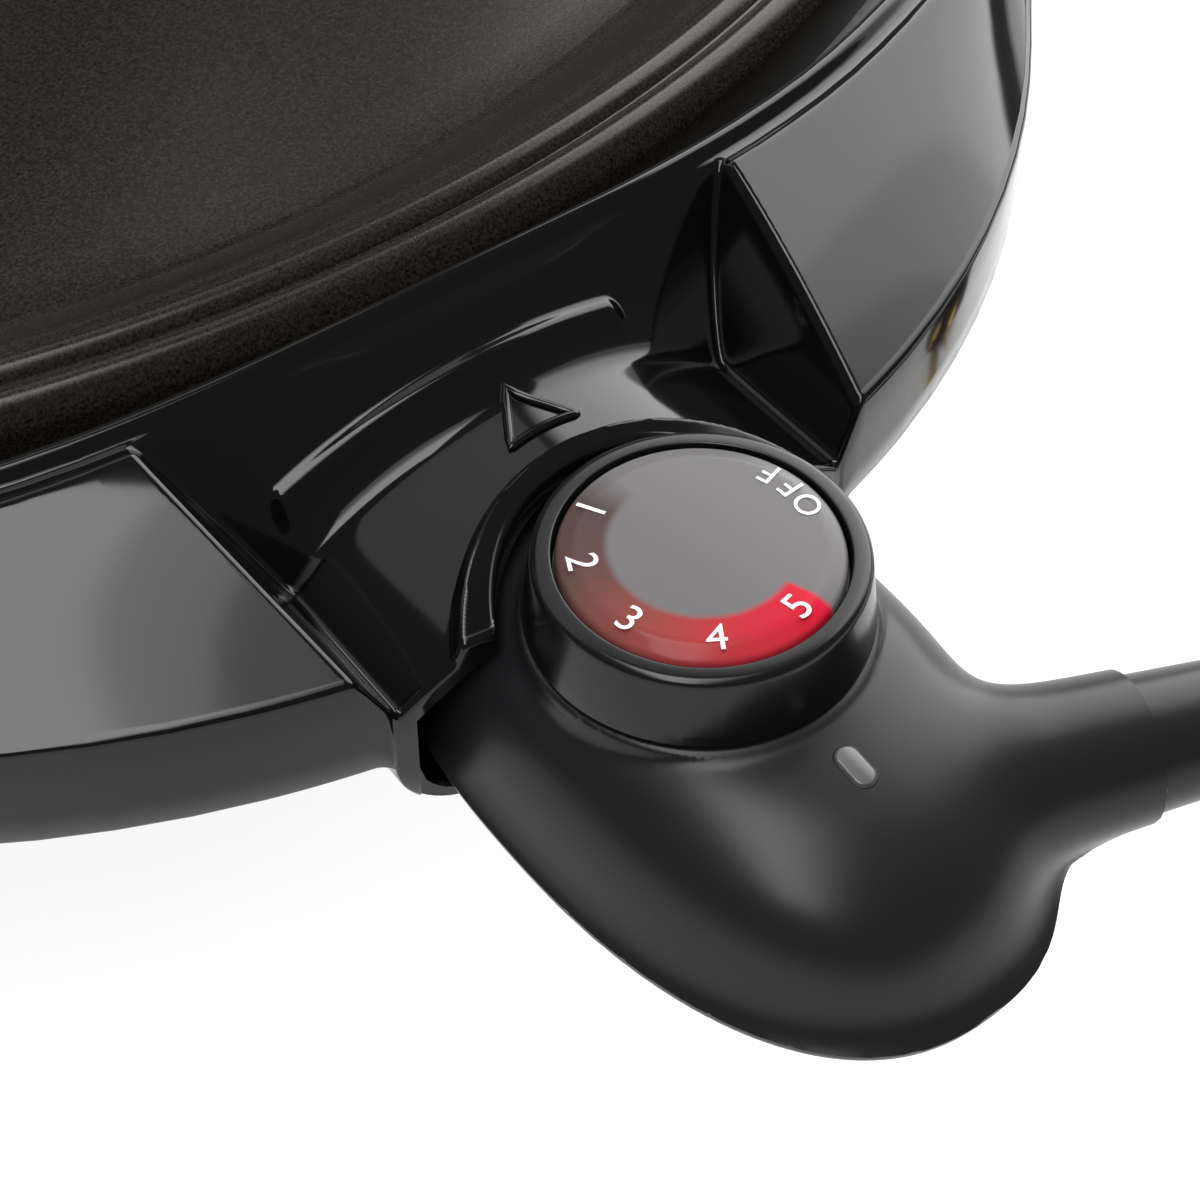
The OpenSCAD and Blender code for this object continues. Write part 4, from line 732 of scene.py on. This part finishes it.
# %% The body's form
BODY_Y, HALF_W, HALF_L, PART_Z, BODY_H, LOWER_H = -270.0, 27.5, 47.5, 82.0, 18.4, 4.0
# A power of 2 gives an ellipse, and a larger one fuller corners.
PLAN_POWER, SIDE_POWER, TOP_POWER, LOWER_POWER = 2.3, 4, 2.2, 4
# The egg's wall flares out a little just over the parting line.
FLARE, FLARE_RISE = 0.07, 0.11
DECK_R, DECK_Z, DECK_EDGE, DECK_HOLLOW = 19.5, 100.5, 0.8, 1.6
NECK_R, NECK_TAPER, NECK_HOLLOW, NECK_OUT, NECK_IN = 8.7, 0.05, 8.5, 6, 34
DIVE, DIVE_FROM = 0.02, 12


def slope_of(form, p, h=0.05):
    """The direction in which a form's value grows fastest, measured over twice h."""
    return np.stack([(form(p + d) - form(p - d)) / (2 * h) for d in np.eye(3) * h], axis=1)


def egg_value(p):
    """Less than 0 inside the egg and more outside."""
    across = np.abs(p[:, 0] / HALF_W) ** PLAN_POWER
    flat = (across + np.abs((p[:, 1] - BODY_Y) / HALF_L) ** PLAN_POWER) ** (1 / PLAN_POWER)
    up = np.maximum(p[:, 2] - PART_Z, 0) / BODY_H
    down = np.maximum(PART_Z - p[:, 2], 0) / LOWER_H
    girth = np.maximum(flat - FLARE * np.exp(-up / FLARE_RISE), 0) / (1 - FLARE)
    return girth ** SIDE_POWER + up ** TOP_POWER + down ** LOWER_POWER - 1


def egg_form(p):
    """About the distance to the egg, in mm, which its value over its slope gives near the surface."""
    return egg_value(p) / np.maximum(np.linalg.norm(slope_of(egg_value, p), axis=1), 0.02)


def deck_form(p):
    """A round column with no lower end, which under the egg only spreads the points of its flat bottom."""
    around = np.hypot(p[:, 0], p[:, 1] - DIAL_Y)
    return smooth_max(around - DECK_R, p[:, 2] - DECK_Z, DECK_EDGE)


def neck_form(p):
    q = p - neck_end
    along = q @ neck_dir
    q = q - along[:, None] * neck_dir
    # Inside the egg the neck dives, so that its end doesn't show on top. Below it makes a low lump.
    q[:, 2] += DIVE * np.maximum(-along - DIVE_FROM, 0) ** 2
    side = np.linalg.norm(q, axis=1) - (NECK_R - NECK_TAPER * along)
    return np.maximum(side, np.maximum(along - NECK_OUT, -along - NECK_IN))


def soft_join(a, b, k):
    """A union whose hollow has no visible start, unlike a plain smooth minimum's."""
    h = np.maximum(k - np.abs(a - b), 0) / k
    return np.minimum(a, b) - h ** 3 * k / 6


def body_form(p):
    """The egg with its deck and its neck, joined in soft hollows."""
    return soft_join(soft_join(egg_form(p), deck_form(p), DECK_HOLLOW), neck_form(p), NECK_HOLLOW)


# %% The egg
begin()
bpy.ops.mesh.primitive_uv_sphere_add(segments=96, ring_count=64, radius=1)
egg = bpy.context.object
co = np.array([v.co for v in egg.data.vertices])
lat = np.arcsin(np.clip(co[:, 2], -1, 1))
lon = np.arctan2(co[:, 1], co[:, 0])
rise = np.abs(np.sin(lat))
lift = np.where(co[:, 2] >= 0, rise ** (2 / TOP_POWER), 0)
girth = (1 - FLARE) * np.cos(lat) ** (2 / SIDE_POWER) + FLARE * np.exp(-lift / FLARE_RISE)
z = np.where(co[:, 2] >= 0, PART_Z + BODY_H * lift, PART_Z - LOWER_H * rise ** (2 / LOWER_POWER))
shaped = np.column_stack([
    HALF_W * girth * np.sign(np.cos(lon)) * np.abs(np.cos(lon)) ** (2 / PLAN_POWER),
    BODY_Y + HALF_L * girth * np.sign(np.sin(lon)) * np.abs(np.sin(lon)) ** (2 / PLAN_POWER), z])
egg.data.vertices.foreach_set("co", (shaped * MM).astype(np.float32).ravel())
egg.data.update()
print("egg points:", len(shaped))

# %% Deck and neck, joined to the egg
DECK_DEEP, NECK_LONG, NECK_BACK, VOXEL = 10, 28, 8, 0.6
begin()
bpy.ops.mesh.primitive_cylinder_add(vertices=96, radius=DECK_R * MM, depth=DECK_DEEP * MM,
                                    location=(0, DIAL_Y * MM, (DECK_Z - DECK_DEEP / 2) * MM))
deck = bpy.context.object
begin()
bpy.ops.mesh.primitive_cylinder_add(vertices=96, radius=(NECK_R + 0.2) * MM, depth=NECK_LONG * MM,
                                    location=(neck_end - NECK_BACK * neck_dir) * MM,
                                    rotation=(math.pi / 2, 0, neck_turn + math.pi / 2))
for part in (deck, egg):
    part.select_set(True)
bpy.context.view_layer.objects.active = egg
bpy.ops.object.transform_apply(location=True, rotation=True, scale=True)
bpy.ops.object.join()
body = bpy.context.object
fuse = body.modifiers.new("fuse", "REMESH")
fuse.mode, fuse.voxel_size, fuse.use_smooth_shade = "VOXEL", VOXEL * MM, True
bpy.ops.object.modifier_apply(modifier="fuse")
print("fused points:", len(body.data.vertices))

# %% Slide onto the form
co = np.empty(len(body.data.vertices) * 3, np.float32)
body.data.vertices.foreach_get("co", co)
p = co.reshape(-1, 3).astype(float) / MM
for _ in range(6):
    lean = slope_of(body_form, p)
    step = body_form(p) / np.maximum((lean ** 2).sum(1), 0.1)
    p = p - np.clip(step, -1, 1)[:, None] * lean
body.data.vertices.foreach_set("co", (p * MM).astype(np.float32).ravel())
body.data.update()
above = p[:, 2] > PART_Z
print("worst distance from the form, over the parting line:", float(np.abs(body_form(p[above])).max()))

# %% Cut at the neck's end, the nose and the parting line
def cut(point, normal, piece):
    """Takes away the side of a piece that the normal points to, and closes the cut."""
    begin()
    piece.select_set(True)
    bpy.context.view_layer.objects.active = piece
    bpy.ops.object.mode_set(mode="EDIT")
    bpy.ops.mesh.select_all(action="SELECT")
    bpy.ops.mesh.bisect(plane_co=point, plane_no=normal, use_fill=True, clear_outer=True)
    bpy.ops.object.mode_set(mode="OBJECT")


NOSE_Y = -236.4
cut(tuple(neck_end * MM), tuple(neck_dir), body)
cut((0, NOSE_Y * MM, 0), (0, 1, 0), body)
lower = body.copy()
lower.data = body.data.copy()
bpy.context.scene.collection.objects.link(lower)
cut((0, 0, PART_Z * MM), (0, 0, -1), body)
cut((0, 0, PART_Z * MM), (0, 0, 1), lower)
print("cover and base points:", len(body.data.vertices), len(lower.data.vertices))

# %% The parting line
# The cut's own points are slid onto the form, level, so that the line is clean.
for half in (body, lower):
    co = np.array([v.co for v in half.data.vertices]) / MM
    rim_points = np.abs(co[:, 2] - PART_Z) < 0.01
    for _ in range(4):
        edge_at = co[rim_points]
        lean = slope_of(body_form, edge_at)[:, :2]
        step = body_form(edge_at) / (lean ** 2).sum(1).clip(0.2)
        co[rim_points, :2] = edge_at[:, :2] - step[:, None] * lean
    half.data.vertices.foreach_set("co", (co * MM).astype(np.float32).ravel())
# The lower shell stands back by a quarter of a millimetre, which draws the parting line round the egg. It
# doesn't at the nose's flat end and near the neck.
SET_BACK = 0.25
co = np.array([v.co for v in lower.data.vertices]) / MM
away = np.clip((neck_form(co) - 2) / 4, 0, 1)[:, None]
co -= SET_BACK * away * slope_of(egg_form, co) * (co[:, 1:2] < NOSE_Y - 0.1)
lower.data.vertices.foreach_set("co", (co * MM).astype(np.float32).ravel())
shells = ((body, "control_cover", "control_upper_shell"), (lower, "control_base", "control_lower_shell"))
for half, name, node in shells:
    begin()
    half.select_set(True)
    bpy.context.view_layer.objects.active = half
    bpy.ops.object.shade_smooth_by_angle(angle=math.radians(40))
    settle(name, "control", satin_black, node)

# %% [markdown]
# ## The knob
# The knob has a wide round shoulder, a wall that leans in a little and a seat for the dial's window. It is
# round all over, so its cut is drawn once, each corner gets its own radius and the cut is spun. A bevelled
# cylinder would have one radius for all of them.

# %% Knob
knob_line = rounded(
    [(3.05, 100.85), (18.6, 100.85), (19.1, 101.2), (18.9, 102.6), (17.9, 110.0), (15.75, 110.0),
     (15.7, 107.7), (3.05, 107.7)],
    [0, 0.4, 0.3, 1.2, 2.2, 0.2, 0.2, 0], steps=8)
turned(knob_line + [(3.05, 100.85)], centre=(0, DIAL_Y))
knob = settle("control_knob", "dial", knob_black, "dial_knob")

# %% [markdown]
# ## The dial's lens
# A clear disc covers a grey print with a band that warms from dark brown at 1 to red at 5. The grey of the
# face, and the washed look of the brown near 1, are partly the print's own colour and partly painted
# reflection of the even overhead light, so the disc's own shine is kept low. The band is worked out from the
# angle and radius about the dial's axis, so it turns with the dial. The disc is spun.

# %% Lens finish
# The face's grey is partly painted reflection of the overhead light, so the specular level is low.
dial_print_and_painted_reflection, tree, shader = surface("printed_dial_with_painted_reflection", Roughness=0.12, IOR=1.49,
                                   Specular_IOR_Level=0.08)
where = add(tree, "ShaderNodeMapping", {"Vector": place(tree), "Location": (0, -DIAL_Y * MM, 0)})
axes = add(tree, "ShaderNodeSeparateXYZ", {"Vector": where.outputs["Vector"]})
# The angle runs from 0 at the figure 1's start round to 1 past the figure 5.
turn = add(tree, "ShaderNodeMath", {0: axes.outputs["Y"], 1: axes.outputs["X"]}, operation="ARCTAN2")
shifted = add(tree, "ShaderNodeMath", {0: turn.outputs[0], 1: math.radians(-95)}, operation="ADD")
wrapped = add(tree, "ShaderNodeMath", {0: shifted.outputs[0], 1: 2 * math.pi, 2: 0.0}, operation="WRAP")
share = add(tree, "ShaderNodeMath", {0: wrapped.outputs[0], 1: 2 * math.pi}, operation="DIVIDE")
warm = add(tree, "ShaderNodeValToRGB", {"Fac": share.outputs[0]})
# The colours go round with that angle; face is the plain grey in the middle and between 5 and 1, partly print
# and partly painted reflection.
face = "#676566"
stops = [(0.0, face), (0.06, "#4a3f3d"), (0.19, "#59403c"), (0.30, "#80403c"), (0.42, "#a53037"),
         (0.545, "#bb1832"), (0.549, face), (1.0, face)]
for element, (at, tone) in zip(warm.color_ramp.elements, (stops[0], stops[-1])):
    element.position = at
    element.color = colour(tone)
for at, tone in stops[1:-1]:
    warm.color_ramp.elements.new(at).color = colour(tone)
flat_only = add(tree, "ShaderNodeVectorMath", {0: where.outputs["Vector"], 1: (1, 1, 0)},
                operation="MULTIPLY")
radius = add(tree, "ShaderNodeVectorMath", {0: flat_only.outputs["Vector"]}, operation="LENGTH")
# The band starts at a radius of about 10 mm.
band = add(tree, "ShaderNodeMapRange",
           {"Value": radius.outputs["Value"], "From Min": 9.4 * MM, "From Max": 10.6 * MM},
           interpolation_type="SMOOTHSTEP")
mixed = add(tree, "ShaderNodeMix", {"Factor": band.outputs["Result"]}, data_type="RGBA")
mixed.inputs[6].default_value = colour(face)
tree.links.new(warm.outputs["Color"], mixed.inputs[7])
tree.links.new(mixed.outputs[2], shader.inputs["Base Color"])

# %% Lens
lens_line = rounded([(0, 110.9), (13.2, 110.8), (15.15, 109.9), (15.4, 108.9), (15.4, 107.9), (0, 107.9)],
                    [0, 3.0, 1.0, 0.3, 0.2, 0], steps=8)
turned(lens_line, centre=(0, DIAL_Y), steps=160)
lens = settle("dial_window", "dial", dial_print_and_painted_reflection, "dial_lens")

# %% [markdown]
# ## The dial's figures
# The dial carries OFF and the figures 1 to 5, printed with their tops to the centre. Each is a text object
# turned to a mesh and laid a hair above the window.

# %% Figures
white_print = speckled("white_dial_print", "#d8d4d2", "#efecea", 0.5, 0.01, Roughness=0.12)
FIGURE_R, FIGURE_Z, LETTER_DEG = 12.8, 110.88, 13.5
# Each word has its angle on the dial, in degrees, and the height of its type.
FIGURES = (("OFF", 3, 4.0), ("1", 119, 4.8), ("2", 154, 4.8), ("3", 196, 4.8), ("4", 238, 4.8),
           ("5", 281, 4.8))
figure_parts = []
for words, turn, size in FIGURES:
    for k, letter in enumerate(words):
        a = math.radians(turn + LETTER_DEG * (k - (len(words) - 1) / 2))
        begin()
        bpy.ops.object.text_add()
        text = bpy.context.object
        text.data.body, text.data.size = letter, size * MM
        text.data.align_x, text.data.align_y = "CENTER", "CENTER"
        text.data.extrude = 0.02 * MM
        bpy.ops.object.convert(target="MESH")
        r = FIGURE_R * MM
        text.location = (r * math.cos(a), DIAL_Y * MM + r * math.sin(a), FIGURE_Z * MM)
        text.rotation_euler = (0, 0, a + math.pi / 2)
        bpy.ops.object.transform_apply(location=True, rotation=True, scale=True)
        figure_parts.append(text)
begin()
for part in figure_parts:
    part.select_set(True)
bpy.context.view_layer.objects.active = figure_parts[0]
bpy.ops.object.join()
settle("dial_figures", "dial", white_print)

# %% [markdown]
# ## Pilot lamp's window
# A small grey window, long in the control's direction, lies flush in the body between the knob and the
# control's outer end, in a fine dark gap. The gap's dark is painted shade: a near-black disc, a little wider
# than the window, lies under it. Both are short cylinders whose halves are moved apart, tilted to
# the body's slope there.

# %% Lamp window's finish
LAMP_Y, LAMP_HALF = -294.3, 2.5
smoke, tree, shader = surface("smoked_lamp_window", Roughness=0.22)
# The window is a little lighter toward the knob, as light comes through it from the lamp's recess.
lit_at = add(tree, "ShaderNodeSeparateXYZ", {"Vector": place(tree)})
lit = add(tree, "ShaderNodeMapRange",
          {"Value": lit_at.outputs["Y"], "From Min": (LAMP_Y - LAMP_HALF) * MM,
           "From Max": (LAMP_Y + LAMP_HALF) * MM})
shade = add(tree, "ShaderNodeValToRGB", {"Fac": lit.outputs["Result"]})
shade.color_ramp.elements[0].color = colour("#4b4b4c")
shade.color_ramp.elements[1].color = colour("#5e5e5f")
tree.links.new(shade.outputs["Color"], shader.inputs["Base Color"])
# The gap round the window is painted shade: a near-black finish for the disc that stands where the gap is
# dark.
painted_gap_shade = speckled("painted_shade_gap_round_lamp", "#030303", "#060606", 0.5, 0.01, Roughness=0.6)

# %% Lamp window
def body_top(y):
    """Height of the body's surface on its middle line."""
    heights = np.linspace(104, 90, 1401)
    column = np.column_stack([np.zeros_like(heights), np.full_like(heights, y), heights])
    return float(heights[np.argmax(body_form(column) < 0)])


lamp_z = body_top(LAMP_Y)
lamp_tilt = math.atan2(body_top(LAMP_Y + LAMP_HALF) - body_top(LAMP_Y - LAMP_HALF), 2 * LAMP_HALF)
print("lamp at height", lamp_z, "tilt", math.degrees(lamp_tilt))


def pill(radius, depth, top_z, apart=1.2):
    """A short upright cylinder, its halves moved apart along the control, on the body's slope."""
    begin()
    bpy.ops.mesh.primitive_cylinder_add(vertices=48, radius=radius * MM, depth=depth * MM,
                                        location=(0, 0, -depth / 2 * MM))
    bpy.ops.object.transform_apply(location=True)
    made = bpy.context.object
    for v in made.data.vertices:
        v.co.y += (apart if v.co.y > 0 else -apart) * MM
    soften = made.modifiers.new("soften", "BEVEL")
    soften.width, soften.segments = 0.25 * MM, 4
    bpy.ops.object.modifier_apply(modifier="soften")
    bpy.ops.object.shade_smooth_by_angle(angle=math.radians(50))
    made.location = (0, LAMP_Y * MM, top_z * MM)
    made.rotation_euler = (lamp_tilt, 0, 0)


pill(radius=1.3, depth=2.0, top_z=lamp_z + 0.3)
lamp = settle("lamp_window", "control", smoke, "lamp_lens")
# The wider near-black disc under the window is painted shade for the gap round it.
pill(radius=1.6, depth=1.0, top_z=lamp_z + 0.1)
settle("lamp_gap_painted_shade", "control", painted_gap_shade)

# %% [markdown]
# ## Finishes of the pieces that keep their solids
# Every other solid is a plain machined, pressed or moulded piece, and only needs its own finish.

# %% Finishes
lamp_glass = speckled("neon_lamp_glass", "#8a2a1c", "#b8402c", 1.0, 0.01, Roughness=0.15,
                      Transmission_Weight=0.4)
finishes = {
    "gloss_black": gloss_black, "satin_black": satin_black, "knob_black": knob_black,
    "dial_clear": dial_print_and_painted_reflection, "lamp_clear": smoke, "lamp_glass": lamp_glass, "nonstick": nonstick,
    "pan_paint": pan_paint, "lid_paint": lid_enamel, "bracket_paint": bracket_paint,
    "bright_steel": bright_steel, "sheath_steel": sheath_steel, "reflector_alu": reflector_sheet,
    "brass": brass, "ceramic": steatite, "pad_rubber": pad_rubber, "cord_rubber": lead_rubber,
    "tie_plastic": tie_plastic}
for part in frame["record"]["subparts"]:
    node_object = nodes[part["node"]]
    node_object.data.materials.clear()
    node_object.data.materials.append(finishes[part["material_slot"]])
# On the photograph the strain relief has the same satin black as the control's body.
nodes["strain_relief"].data.materials.clear()
nodes["strain_relief"].data.materials.append(satin_black)

# %% [markdown]
# ## Floor and light
# The photograph is a studio picture on white: large soft lights above and to the right give the long pale
# reflections in the gloss rim, and the dark parts of the room give the black between them. Area lights are
# used, because a gloss surface mirrors their outline, and boxes laid over or beside each other fade softly.

# %% Floor
begin()
bpy.ops.mesh.primitive_plane_add(size=8, location=(0, 0, 0))
floor = bpy.context.object
floor.name = floor.data.name = "studio_floor"
# A light table: it glows a little, so that shadows on it stay pale.
floor_paper = speckled("white_light_table", "#969696", "#9a9a9a", 40, 0.01, Roughness=0.9,
                       Emission_Color=(1, 1, 1, 1), Emission_Strength=0.85)
floor.data.materials.append(floor_paper)

# %% Light helpers
def softbox(name, middle, aim, width, height, radiance, turn=0.0):
    """A flat light that faces its aim; it looks equally bright at any size."""
    data = bpy.data.lights.new(name, "AREA")
    data.shape, data.size, data.size_y = "RECTANGLE", width, height
    data.energy = radiance * math.pi * width * height
    lamp = bpy.data.objects.new(name, data)
    bpy.context.scene.collection.objects.link(lamp)
    lamp.location = middle
    facing = (Vector(middle) - Vector(aim)).to_track_quat("Z", "Y")
    lamp.rotation_euler = (facing @ Quaternion((0, 0, 1), math.radians(turn))).to_euler()
    return lamp


def seen_from(point, azimuth, elevation, distance):
    """A place that far from a point, in metres; azimuth 0 is to the right and 90 to the back."""
    a, e = math.radians(azimuth), math.radians(elevation)
    way_out = Vector((math.cos(e) * math.cos(a), math.cos(e) * math.sin(a), math.sin(e)))
    return Vector(point) + distance * way_out


# %% Lights
BAY = (0, -0.24, 0.105)
AWAY, RIGHT_FAR_EDGE, RIGHT_UP, RIGHT_TALL, RIGHT_TURN = 1.6, 44, 30, 1.5, -17
# The right box fades at its near edge, so it is four boxes in one place, each a little wider.
for near_edge, radiance in ((2, 1.4), (-3, 1.4), (-7, 1.4), (-12, 1.3)):
    middle, half = (RIGHT_FAR_EDGE + near_edge) / 2, math.radians(RIGHT_FAR_EDGE - near_edge) / 2
    softbox("right_softbox", seen_from(BAY, middle, RIGHT_UP, AWAY), BAY, 2 * AWAY * math.tan(half),
            RIGHT_TALL, radiance, turn=RIGHT_TURN)
softbox("back_softbox", seen_from(BAY, azimuth=97, elevation=47, distance=AWAY), BAY,
        width=1.56, height=0.98, radiance=1.05)
# The overhead box lies diagonally, its near edge at 45 degrees over the control, and fades at that edge.
TOP_ALONG, TOP_UP, TOP_LONG = -0.85, 1.6, 1.95
for near, far, radiance in ((-0.25, 0.22, 8.3), (0.22, 0.34, 5.0), (0.34, 0.50, 2.2)):
    across = (near + far) / 2
    x, y = (TOP_ALONG + across) / math.sqrt(2), (TOP_ALONG - across) / math.sqrt(2)
    softbox("top_softbox", (x, y, TOP_UP), (x, y, 0), TOP_LONG, far - near, radiance, turn=45)
print("lights:", len(bpy.data.lights))

# %% Room
world = bpy.data.worlds.new("studio_room")
bpy.context.scene.world = world
world.use_nodes = True
world.node_tree.nodes["Background"].inputs["Color"].default_value = (1, 1, 1, 1)
world.node_tree.nodes["Background"].inputs["Strength"].default_value = 0.2
bpy.context.scene.view_settings.view_transform = "Standard"
